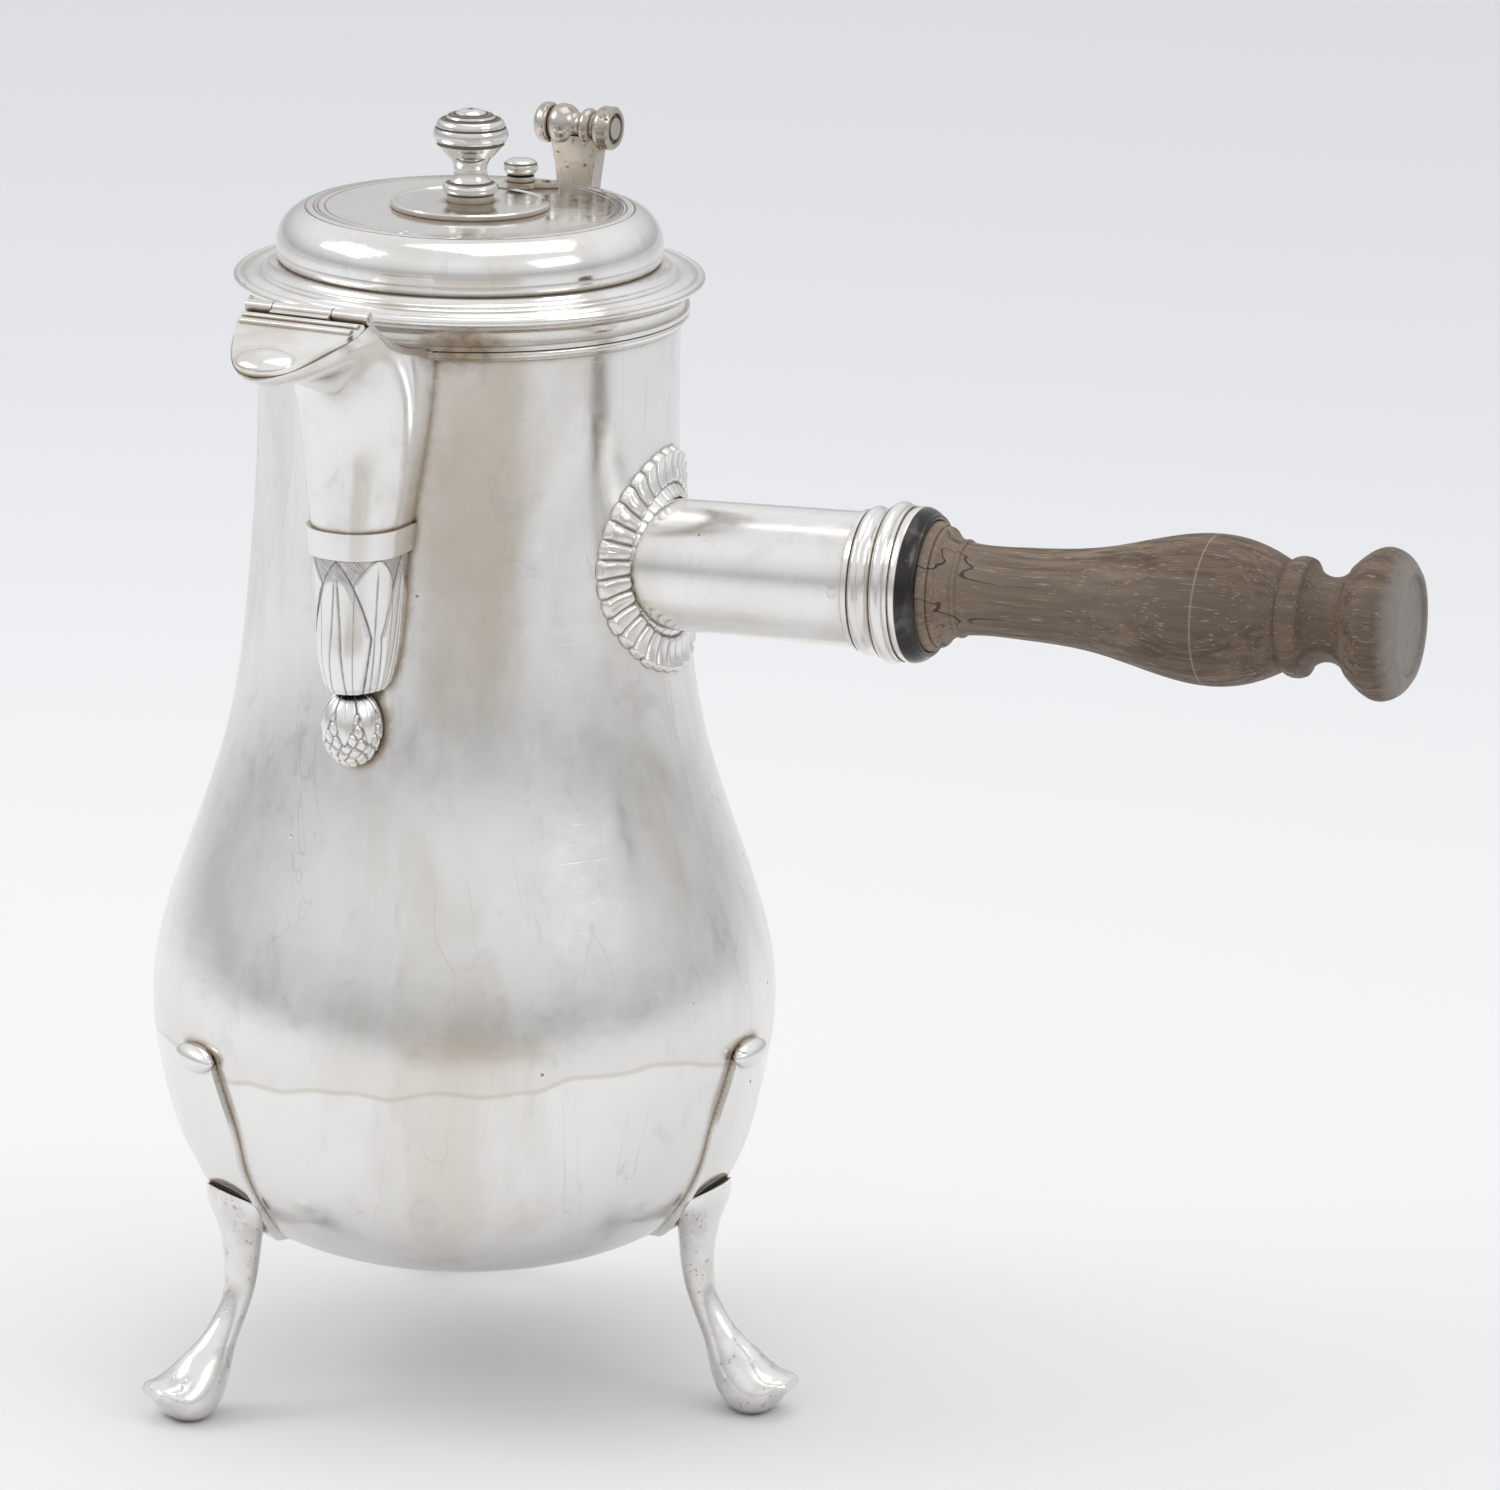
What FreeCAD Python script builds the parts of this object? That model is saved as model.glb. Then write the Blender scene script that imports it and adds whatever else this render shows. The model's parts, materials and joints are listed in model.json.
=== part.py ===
import FreeCAD, Part
import math
import os

# Silver coffee pot on three cast legs, with a turned wooden side handle, a hinged spout flap
# and a hinged cover whose finial disc swivels aside from a stirrer hole.
#
# Millimetres. The pot is modelled about its own vertical axis, standing on Z = 0, with the spout
# towards -Y, the handle towards +X and the cover hinge towards +Y. At export everything is moved
# so that the origin is the middle of the underside of the whole pot's box.

V = FreeCAD.Vector
X_AXIS = V(1, 0, 0)
Z_AXIS = V(0, 0, 1)
ORIGIN = V(0, 0, 0)

# Body
WALL = 0.75
BODY_BOTTOM = 27.0
BELLY_RADIUS = 65.4
BELLY_HEIGHT = 83.0
NECK_RADIUS = 43.6
NECK_HEIGHT = 208.0
MOUTH_HEIGHT = 234.45
SLOT_HALF_WIDTH = 6.0
SLOT_BOTTOM = 176.0
SLOT_TOP = 218.0
OFFSET_STEPS = 24

# Rim band
BAND_BOTTOM = 227.0
BAND_RADIUS = 46.8

# Legs
LEG_ANGLES = {"handle_side": 0.0, "spout_side": -120.0, "back": 120.0}
PLATE_THICKNESS = 1.5
PLATE_TOP = 80.5
PLATE_HALF_WIDTH = 9.7
SCROLL_RADIUS = 2.7

# Spout
SPOUT_WALL = 1.1
SPOUT_HALF_WIDTH = 13.7
SPOUT_BOTTOM = 159.0
STRAP_BOTTOM = 187.6
STRAP_TOP = 193.2
STRAP_THICKNESS = 0.8
BERRY_CENTRE = V(0, -51.5, 151.0)
BERRY_RADIUS = 6.3
BERRY_STRETCH = 1.3
LIP_Y = -94.4
LIP_Z = 231.5
RIM_CREST_Y = -70.6
RIM_CREST_Z = 239.4
BRIDGE_THICKNESS = 1.1
BRIDGE_END_Y = -43.0
BRIDGE_END_Z = 228.4

# Flap and its hinge
FLAP_THICKNESS = 1.1
FLAP_GAP = 0.05
FLAP_LENGTH = 24.0
FLAP_KNUCKLE_RADIUS = 1.35
FLAP_PIN_RADIUS = 0.6
FLAP_HINGE_Y = -70.6
FLAP_HINGE_Z = 240.75
FLAP_JOINTS = (-7.7, 5.7)
LIP_PAD_SIZE = (6.4, 4.3, 1.7)

# Cover
FLANGE_RADIUS = 48.6
FLANGE_UNDERSIDE = 234.6
COVER_TOP = 249.9
COVER_FLAT_RADIUS = 32.6
DOME_RADIUS = 39.8
COVER_WALL = 1.1
BEZEL_CLEARANCE = 0.5
BEZEL_DEPTH = 4.4
ENGRAVED_RADII = (29.9, 31.4, 32.2, 33.9)

# Stirrer hole and swivelling disc
STIRRER_HOLE_RADIUS = 8.0
STIRRER_BEZEL_RADIUS = 9.2
STIRRER_BEZEL_DEPTH = 4.0
DISC_RADIUS = 16.45
DISC_BOTTOM = 250.05
DISC_TOP = 251.2
PIVOT_Y = 23.0
PIVOT_RADIUS = 1.5
PIVOT_BUN_RADIUS = 3.6
EAR_RADIUS = 3.7
FINIAL_TOP = 270.2
FINIAL_SHANK_RADIUS = 1.2
RIVET_TOP = 258.0
RUNNING_CLEARANCE = 0.05

# Cover hinge
COVER_HINGE_Y = 51.6
COVER_HINGE_Z = 234.6
COVER_KNUCKLE_RADIUS = 2.3
COVER_PIN_RADIUS = 1.1
COVER_HINGE_HALF_LENGTH = 8.0
COVER_KNUCKLE_HALF_LENGTH = 2.5
KNUCKLE_GAP = 0.2
THUMB_Y = 50.0
THUMB_Z = 258.5
THUMB_BASE_Z = 238.4

# Handle, measured along its own axis from the body wall
HANDLE_ROOT_RADIUS = 44.0
HANDLE_ROOT_ANGLE = 1.0
HANDLE_ROOT_Z = 179.4
HANDLE_SWING = 5.5
HANDLE_RISE = 0.8
ROSETTE_RADIUS = 23.7
ROSETTE_THICKNESS = 1.7
SOCKET_RADIUS = 13.5
SOCKET_END_RADIUS = 14.05
COLLAR_START = 44.2
COLLAR_END = 54.4
SOCKET_END = 58.0
TENON_START = 14.0
TENON_RADIUS = 12.25
SOCKET_BORE_RADIUS = 12.3
GRIP_START = 58.2
KNOB_RADIUS = 15.55
HANDLE_PIN_AT = 42.2
HANDLE_PIN_RADIUS = 1.0


def flat(radius, height):
    """A point of a turned outline, in the XZ plane."""
    return V(radius, 0, height)


def smooth_curve(points, initial=None, final=None):
    """A spline through the points, timed by the distance between them, with its end directions if given."""
    distances = [0.0]
    for here, after in zip(points, points[1:]):
        distances.append(distances[-1] + here.distanceToPoint(after))
    curve = Part.BSplineCurve()
    if initial is None:
        curve.interpolate(Points=points, Parameters=distances)
    else:
        curve.interpolate(Points=points, Parameters=distances, InitialTangent=initial, FinalTangent=final,
                          Scale=False)
    return curve


def outline(start, *steps):
    """A wire in the XZ plane. A step is a point for a straight run, (via, end) for an arc,
    or a list of points for a smooth curve."""
    edges = []
    here = flat(*start)
    for step in steps:
        if isinstance(step, list):
            points = [here] + [flat(*p) for p in step]
            edges.append(smooth_curve(points).toShape())
            here = points[-1]
        elif isinstance(step[0], tuple):
            via, end = flat(*step[0]), flat(*step[1])
            edges.append(Part.Arc(here, via, end).toShape())
            here = end
        else:
            end = flat(*step)
            edges.append(Part.LineSegment(here, end).toShape())
            here = end
    first = flat(*start)
    if here.distanceToPoint(first) > 1e-6:
        edges.append(Part.LineSegment(here, first).toShape())
    return Part.Wire(edges)


def turned(wire, axis=Z_AXIS):
    """The solid that an outline sweeps round an axis through the origin."""
    return Part.Face(wire).revolve(ORIGIN, axis, 360)


def rod(radius, start, direction, length):
    return Part.makeCylinder(radius, length, start, direction)


def rod_x(radius, x0, x1, y, z):
    return rod(radius, V(x0, y, z), X_AXIS, x1 - x0)


def block(x0, x1, y0, y1, z0, z1):
    return Part.makeBox(x1 - x0, y1 - y0, z1 - z0, V(x0, y0, z0))


def slab(z0, z1):
    """Everything near the pot between two heights."""
    return block(-150, 250, -150, 150, z0, z1)


def side_plate(points, half_width):
    """A plate whose side outline is given as (y, z) points or arcs, centred on X = 0."""
    wire = outline(*points)
    wire.rotate(ORIGIN, Z_AXIS, 90)
    wire.translate(V(-half_width, 0, 0))
    return Part.Face(wire).extrude(V(2 * half_width, 0, 0))


def ellipsoid(centre, half_x, half_y, half_z):
    ball = Part.makeSphere(1.0)
    stretch = FreeCAD.Matrix()
    stretch.scale(V(half_x, half_y, half_z))
    ball = ball.transformGeometry(stretch)
    ball.translate(centre)
    return ball


# ---------------------------------------------------------------- body

def body_curve():
    """The raised outline from the middle of the underside up to the neck."""
    points = [
        (0, BODY_BOTTOM), (32, 30.2), (47.5, 37.2), (58.3, 50.0), (63.6, 67.0),
        (BELLY_RADIUS, BELLY_HEIGHT), (59.5, 110), (50.0, 139), (45.3, 174), (NECK_RADIUS, NECK_HEIGHT),
    ]
    return smooth_curve([flat(*p) for p in points], V(1, 0, 0), V(0, 0, 1))


def moved_outward(curve, growth):
    """The outline redrawn a constant distance outside itself."""
    points = []
    for step in range(OFFSET_STEPS + 1):
        where = curve.FirstParameter + (curve.LastParameter - curve.FirstParameter) * step / OFFSET_STEPS
        tangent = curve.tangent(where)[0]
        points.append(curve.value(where) + V(tangent.z, 0, -tangent.x) * growth)
    return smooth_curve(points, V(1, 0, 0), V(0, 0, 1))


def body_solid(growth=0.0, top=MOUTH_HEIGHT):
    """The body as if it were filled, with its outside moved out by growth."""
    curve = body_curve()
    if growth:
        curve = moved_outward(curve, growth)
    low = curve.value(curve.FirstParameter)
    high = curve.value(curve.LastParameter)
    rest = Part.makePolygon([high, V(high.x, 0, top), V(0, 0, top), low])
    return turned(Part.Wire([curve.toShape()] + rest.Edges))


def pouring_slot():
    """Round-ended opening through the wall behind the spout."""
    low = V(0, -50, SLOT_BOTTOM + SLOT_HALF_WIDTH)
    high = V(0, -50, SLOT_TOP - SLOT_HALF_WIDTH)
    middle = block(-SLOT_HALF_WIDTH, SLOT_HALF_WIDTH, -50, -34, low.z, high.z)
    forward = V(0, 1, 0)
    return middle.fuse(rod(SLOT_HALF_WIDTH, low, forward, 16)).fuse(rod(SLOT_HALF_WIDTH, high, forward, 16))


def body_shell():
    hollow = body_solid(-WALL, MOUTH_HEIGHT + 1)
    return body_solid().cut(hollow).cut(pouring_slot())


def rim_band():
    """Lower bead, fillet, cavetto and top fillet round the mouth."""
    wire = outline(
        (NECK_RADIUS, BAND_BOTTOM),
        (44.6, BAND_BOTTOM), (44.6, BAND_BOTTOM + 0.5),
        ((45.5, 228.3), (44.7, 229.0)),
        (45.5, 229.1), (45.5, 230.0), (44.8, 230.1),
        ((44.9, 232.4), (46.4, 233.8)),
        (BAND_RADIUS, 233.8), (BAND_RADIUS, MOUTH_HEIGHT), (NECK_RADIUS, MOUTH_HEIGHT),
    )
    return turned(wire)


def mouth_solid():
    """Body and rim band, filled, to trim what is soldered on."""
    return body_solid().fuse(rim_band())


# ---------------------------------------------------------------- legs

# Sections down the leg: radius and height of the middle, tilt of the section from level,
# half depth away from the pot, half width round the pot.
LEG_SECTIONS = [
    (56.6, 46.4, 25, 4.7, 8.7),
    (55.5, 40.0, 10, 4.2, 6.7),
    (54.9, 33.0, 0, 3.5, 4.4),
    (55.7, 26.0, 10, 3.1, 3.5),
    (58.2, 19.6, 25, 3.1, 3.3),
    (61.3, 14.0, 32, 4.0, 4.0),
    (65.0, 7.9, 52, 6.2, 5.9),
    (69.3, 4.9, 72, 6.0, 7.3),
    (73.8, 5.4, 88, 3.6, 6.7),
    (77.2, 6.8, 96, 1.2, 3.6),
]


def leg_section(radius, height, tilt, half_depth, half_width):
    direction = V(math.cos(math.radians(tilt)), 0, math.sin(math.radians(tilt)))
    centre = V(radius, 0, height)
    points = []
    for step in range(12):
        turn = math.radians(step * 30)
        across = V(0, half_width * math.sin(turn), 0)
        points.append(centre + direction * (half_depth * math.cos(turn)) + across)
    ring = Part.BSplineCurve()
    ring.interpolate(Points=points, PeriodicFlag=True)
    return Part.Wire([ring.toShape()])


def leg(angle):
    """Cast cabriole leg with a stepped knee and a spade foot cut flat below."""
    cast = Part.makeLoft([leg_section(*s) for s in LEG_SECTIONS], True, False)
    cast = cast.cut(body_solid(PLATE_THICKNESS))
    cast = cast.common(slab(0, 60))
    cast.rotate(ORIGIN, Z_AXIS, angle)
    return cast


def leg_plate(angle):
    """Leaf-shaped plate between leg and body, rolled over at its upper tip."""
    side = [(0, PLATE_TOP), (4.6, PLATE_TOP - 1.2), (6.4, 76.0), (8.2, 70.0), (PLATE_HALF_WIDTH, 63.0),
            (9.2, 55.0), (8.6, 47.0), (6.0, 39.5), (0, 34.5)]
    edge = smooth_curve([flat(*p) for p in side], V(1, 0, 0), V(-0.8, 0, -0.6)).toShape()
    other = edge.mirror(ORIGIN, X_AXIS)
    leaf = Part.Face(Part.Wire([edge, other]))
    leaf.rotate(ORIGIN, Z_AXIS, 90)
    leaf.translate(V(30, 0, 0))
    prism = leaf.extrude(V(60, 0, 0))
    plate = body_solid(PLATE_THICKNESS).common(prism).cut(body_solid())
    roll = ellipsoid(V(BELLY_RADIUS + 1.0, 0, PLATE_TOP - SCROLL_RADIUS), SCROLL_RADIUS, 6.6, SCROLL_RADIUS)
    plate = plate.fuse(roll.cut(body_solid())).removeSplitter()
    plate.rotate(ORIGIN, Z_AXIS, angle)
    return plate


# ---------------------------------------------------------------- spout

# Sections up the spout: half width, reach of the front from the pot's axis, height of the front,
# height at the back, depth of the rounded nose, and how full the nose is (2 is an ellipse).
SPOUT_SECTIONS = [
    (5.4, 56.4, 159.0, 159.0, 6.0, 2.0),
    (7.9, 58.2, 172.0, 172.0, 9.0, 2.1),
    (9.2, 59.0, 191.0, 191.0, 11.0, 2.2),
    (11.7, 59.4, 207.0, 208.0, 13.0, 2.2),
    (13.4, 62.5, 219.0, 226.0, 16.0, 2.0),
    (13.7, 73.5, 227.0, 241.0, 21.0, 1.8),
    (13.7, 94.6, 231.5, 250.8, 24.5, 1.65),
    (13.7, 95.4, 235.5, 254.8, 24.5, 1.65),
]
SPOUT_BACK = 36.0


def spout_section(half_width, reach, front_z, back_z, nose, fullness, growth):
    half_width += growth
    reach += growth
    back = V(0, -SPOUT_BACK, back_z)
    front = V(0, -reach, front_z)
    forward = (front - back).normalize()
    length = (front - back).Length
    points = []
    for step in range(9):
        turn = math.radians(step * 22.5)
        x = math.copysign(abs(math.cos(turn)) ** (2 / fullness), math.cos(turn))
        u = abs(math.sin(turn)) ** (2 / fullness)
        if step in (0, 8):
            u = 0.0
        points.append(back + forward * (length - nose + nose * u) + V(x * half_width, 0, 0))
    tip = smooth_curve(points, forward, forward * -1)
    right = back + V(half_width, 0, 0)
    left = back - V(half_width, 0, 0)
    start_side = Part.LineSegment(right, points[0]).toShape()
    end_side = Part.LineSegment(points[-1], left).toShape()
    back_side = Part.LineSegment(left, right).toShape()
    return Part.Wire([start_side, tip.toShape(), end_side, back_side])


def spout_solid(growth=0.0):
    return Part.makeLoft([spout_section(*s, growth) for s in SPOUT_SECTIONS], True, False)


def above_rim(raise_by=0.0):
    """The space above the spout's rim: a straight slope down to the lip and a hollow curve
    down to the body."""
    lip = (LIP_Y - 10, LIP_Z - 10 * rim_slope() + raise_by)
    crest = (RIM_CREST_Y, RIM_CREST_Z + raise_by)
    mid = ((RIM_CREST_Y + BRIDGE_END_Y) / 2 - 1, RIM_CREST_Z - 7.6 + raise_by)
    end = (BRIDGE_END_Y, BRIDGE_END_Z + raise_by)
    back = (BRIDGE_END_Y + 13, BRIDGE_END_Z + raise_by)
    return side_plate([lip, crest, (mid, end), back, (back[0], 275), (lip[0], 275)], 30)


def rim_slope():
    return (RIM_CREST_Z - LIP_Z) / (RIM_CREST_Y - LIP_Y)


def spout_wall():
    """The whole raised spout, from its closed lower end to its open rim."""
    floor = slab(0, SPOUT_BOTTOM + 2.5)
    hollow = spout_solid(-SPOUT_WALL).cut(floor)
    return spout_solid().cut(hollow).cut(above_rim()).cut(mouth_solid())


def spout_body():
    return spout_wall().common(slab(STRAP_BOTTOM, 260))


def spout_leaf_mount():
    return spout_wall().common(slab(100, STRAP_BOTTOM))


def spout_strap():
    band = spout_solid(STRAP_THICKNESS).cut(spout_solid())
    return band.common(slab(STRAP_BOTTOM, STRAP_TOP)).cut(body_solid())


def spout_berry():
    berry = ellipsoid(BERRY_CENTRE, BERRY_RADIUS, BERRY_RADIUS, BERRY_RADIUS * BERRY_STRETCH)
    return berry.common(slab(100, SPOUT_BOTTOM)).cut(body_solid())


def spout_bridge():
    """Fixed plate from the mouth to the flap's hinge."""
    low = above_rim()
    plate = low.cut(above_rim(BRIDGE_THICKNESS))
    plate = plate.common(block(-SPOUT_HALF_WIDTH, SPOUT_HALF_WIDTH, RIM_CREST_Y, -40, 200, 260))
    whole_barrel = rod_x(FLAP_KNUCKLE_RADIUS, -20, 20, FLAP_HINGE_Y, FLAP_HINGE_Z)
    room_start = FLAP_JOINTS[0] - KNUCKLE_GAP
    room_end = FLAP_JOINTS[1] + KNUCKLE_GAP
    swing_room = rod_x(FLAP_KNUCKLE_RADIUS + 0.3, room_start, room_end, FLAP_HINGE_Y, FLAP_HINGE_Z)
    return plate.cut(mouth_solid()).cut(whole_barrel).cut(swing_room)


def flap_frame(shape):
    """Moves a shape drawn flat (X across, -Y forward, Z up) onto the sloping rim at its crest."""
    shape.rotate(ORIGIN, X_AXIS, math.degrees(math.atan(rim_slope())))
    shape.translate(V(0, RIM_CREST_Y, RIM_CREST_Z))
    return shape


def spout_flap():
    """Shield-shaped plate with two half-round mouldings by the hinge and a raised pad at the lip."""
    side = [(13.5, -1.8), (13.0, -6.0), (11.0, -11.0), (8.6, -16.5), (5.6, -21.4), (0, -FLAP_LENGTH)]
    start = V(*side[0], 0)
    edge = smooth_curve([V(x, y, 0) for x, y in side], V(0, -1, 0), V(-1, 0, 0)).toShape()
    other = edge.mirror(ORIGIN, X_AXIS)
    back = Part.LineSegment(V(-start.x, start.y, 0), start).toShape()
    leaf = Part.Face(Part.Wire([edge, other, back])).extrude(V(0, 0, FLAP_THICKNESS))
    leaf.translate(V(0, 0, FLAP_GAP))
    tongue = block(FLAP_JOINTS[0] + KNUCKLE_GAP, FLAP_JOINTS[1] - KNUCKLE_GAP, -2.2, -0.9, 0.5, 1.9)
    plate = leaf.fuse(tongue)
    top = FLAP_GAP + FLAP_THICKNESS
    for forward, radius, half_length in ((-3.0, 0.75, 12.9), (-5.4, 0.85, 12.4)):
        plate = plate.fuse(rod_x(radius, -half_length, half_length, forward, top - 0.1).common(slab(0.3, 9)))
    pad = ellipsoid(V(0, -19.2, top - 0.2), *LIP_PAD_SIZE).common(slab(FLAP_GAP + 0.2, 9))
    plate = flap_frame(plate.fuse(pad).removeSplitter())
    barrel = rod_x(FLAP_KNUCKLE_RADIUS, -20, 20, FLAP_HINGE_Y, FLAP_HINGE_Z)
    return plate.cut(barrel)


def flap_knuckle(bore, x0, x1):
    barrel = rod_x(FLAP_KNUCKLE_RADIUS, x0, x1, FLAP_HINGE_Y, FLAP_HINGE_Z)
    return barrel.cut(rod_x(bore, x0 - 1, x1 + 1, FLAP_HINGE_Y, FLAP_HINGE_Z))


def spout_hinge_knuckles():
    left_end = FLAP_JOINTS[0] - KNUCKLE_GAP / 2
    right_start = FLAP_JOINTS[1] + KNUCKLE_GAP / 2
    left = flap_knuckle(FLAP_PIN_RADIUS, -SPOUT_HALF_WIDTH, left_end)
    right = flap_knuckle(FLAP_PIN_RADIUS, right_start, SPOUT_HALF_WIDTH)
    return Part.makeCompound([left, right])


def spout_flap_knuckle():
    start = FLAP_JOINTS[0] + KNUCKLE_GAP / 2
    end = FLAP_JOINTS[1] - KNUCKLE_GAP / 2
    return flap_knuckle(FLAP_PIN_RADIUS + RUNNING_CLEARANCE, start, end)


def spout_hinge_pin():
    start = -SPOUT_HALF_WIDTH - 0.2
    end = SPOUT_HALF_WIDTH + 0.4
    return rod_x(FLAP_PIN_RADIUS, start, end, FLAP_HINGE_Y, FLAP_HINGE_Z)


# ---------------------------------------------------------------- cover

def cover():
    """Moulded flange, bulging shoulder and flat top with engraved circles, all one sheet."""
    inner_dome = DOME_RADIUS - COVER_WALL
    under_top = COVER_TOP - COVER_WALL
    wire = outline(
        (STIRRER_BEZEL_RADIUS, COVER_TOP),
        (COVER_FLAT_RADIUS, COVER_TOP),
        ((38.2, 247.2), (DOME_RADIUS, 241.2)),
        ((39.75, 239.8), (39.1, 238.8)),
        (40.3, 238.7),
        ((41.1, 237.5), (42.7, 237.1)),
        (43.1, 236.8),
        ((45.0, 237.0), (46.4, 236.4)),
        (46.7, 236.1),
        ((48.0, 236.4), (FLANGE_RADIUS, 235.5)),
        ((48.3, 234.9), (47.6, FLANGE_UNDERSIDE)),
        (40.6, FLANGE_UNDERSIDE), (40.2, 236.4),
        (38.2, 237.6),
        ((38.5, 239.6), (inner_dome, 241.2)),
        ((37.2, 246.3), (COVER_FLAT_RADIUS - 0.4, under_top)),
        (STIRRER_BEZEL_RADIUS, under_top),
    )
    lid = turned(wire)
    for radius in ENGRAVED_RADII:
        height = COVER_TOP if radius < COVER_FLAT_RADIUS else COVER_TOP - 0.15
        lid = lid.cut(Part.makeTorus(radius, 0.22, V(0, 0, height), Z_AXIS))
    pivot_hole = rod(PIVOT_RADIUS, V(0, PIVOT_Y, COVER_TOP - 3), Z_AXIS, 6)
    return lid.cut(pivot_hole)


def cover_bezel():
    outer = NECK_RADIUS - WALL - BEZEL_CLEARANCE
    wire = outline(
        (outer - 1.0, FLANGE_UNDERSIDE), (outer, FLANGE_UNDERSIDE),
        (outer - 0.3, FLANGE_UNDERSIDE - BEZEL_DEPTH), (outer - 1.0, FLANGE_UNDERSIDE - BEZEL_DEPTH),
    )
    return turned(wire)


def stirrer_bezel():
    """Short tube lining the stirrer hole, with a shoulder under the cover."""
    low = COVER_TOP - STIRRER_BEZEL_DEPTH
    under = COVER_TOP - COVER_WALL
    wire = outline(
        (STIRRER_HOLE_RADIUS, COVER_TOP), (STIRRER_BEZEL_RADIUS, COVER_TOP), (STIRRER_BEZEL_RADIUS, under),
        (STIRRER_BEZEL_RADIUS + 1.4, under), (STIRRER_BEZEL_RADIUS + 1.4, under - 0.9),
        (STIRRER_BEZEL_RADIUS, under - 0.9), (STIRRER_BEZEL_RADIUS, low), (STIRRER_HOLE_RADIUS, low),
    )
    return turned(wire)


def cover_hinge_bracket():
    """Body side of the cover hinge: a bracket soldered to the rim band, with two knuckles."""
    half = COVER_HINGE_HALF_LENGTH
    where = (COVER_HINGE_Y, COVER_HINGE_Z)
    foot = side_plate([(43.0, 226.0), (45.5, 224.8), ((49.6, 228.2), (COVER_HINGE_Y, 232.4)),
                       (COVER_HINGE_Y - 1.0, 233.5), (43.0, 233.5)], half)
    foot = foot.cut(mouth_solid())
    middle = COVER_KNUCKLE_HALF_LENGTH + KNUCKLE_GAP
    foot = foot.cut(rod_x(COVER_KNUCKLE_RADIUS + 0.4, -middle, middle, *where))
    bracket = foot
    for x0, x1 in ((-half, -middle), (middle, half)):
        bracket = bracket.fuse(rod_x(COVER_KNUCKLE_RADIUS, x0, x1, *where))
    return bracket.cut(rod_x(COVER_PIN_RADIUS, -20, 20, *where)).removeSplitter()


def cover_hinge_leaf():
    """Cover side of the hinge: the middle knuckle with its leaf over the flange."""
    half = COVER_KNUCKLE_HALF_LENGTH
    where = (COVER_HINGE_Y, COVER_HINGE_Z)
    leaf = block(-5.2, 5.2, 42.4, 48.9, 236.0, THUMB_BASE_Z)
    neck = block(-half, half, 47.0, COVER_HINGE_Y, COVER_HINGE_Z + 0.8, THUMB_BASE_Z)
    joined = leaf.fuse(neck).fuse(rod_x(COVER_KNUCKLE_RADIUS, -half, half, *where))
    bore = rod_x(COVER_PIN_RADIUS + RUNNING_CLEARANCE, -20, 20, *where)
    return joined.cut(bore).cut(cover()).removeSplitter()


def cover_hinge_pin():
    half = COVER_HINGE_HALF_LENGTH + 0.3
    return rod_x(COVER_PIN_RADIUS, -half, half, COVER_HINGE_Y, COVER_HINGE_Z)


def cover_thumbpiece():
    """Cast thumbpiece: a waisted stem with a scroll like a spool across its top."""
    spool = turned(outline(
        (-9.1, 0), (-9.1, 1.6), ((-8.4, 3.9), (-7.0, 4.3)), ((-6.2, 4.1), (-6.0, 3.1)),
        ((-3.4, 4.3), (-0.8, 3.1)), ((0.1, 2.6), (1.1, 2.8)), ((2.4, 3.8), (3.8, 2.9)), (4.6, 2.7),
        ((5.1, 4.1), (6.6, 4.6)), (8.2, 4.6), (8.7, 4.1), (8.7, 3.3), (7.9, 3.1), (7.9, 2.5),
        (8.7, 2.3), (8.7, 0),
    ), X_AXIS)
    spool.translate(V(0, THUMB_Y, THUMB_Z))
    front = Part.Face(outline(
        (-4.6, THUMB_BASE_Z), (4.6, THUMB_BASE_Z), [(3.9, 243.5), (4.4, 249.0), (5.6, 256.5)], (-5.6, 256.5),
        [(-4.4, 249.0), (-3.9, 243.5), (-4.6, THUMB_BASE_Z)],
    ))
    front.translate(V(0, THUMB_Y - 10, 0))
    stem = front.extrude(V(0, 20, 0))
    side = side_plate([(47.6, THUMB_BASE_Z), (51.8, THUMB_BASE_Z),
                       [(52.6, 244.0), (52.8, 250.0), (52.0, 256.5)],
                       (47.6, 256.5), [(48.2, 251.5), (48.0, 245.0), (47.6, THUMB_BASE_Z)]], 12)
    return stem.common(side).fuse(spool).removeSplitter()


# ---------------------------------------------------------------- swivelling disc

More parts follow.
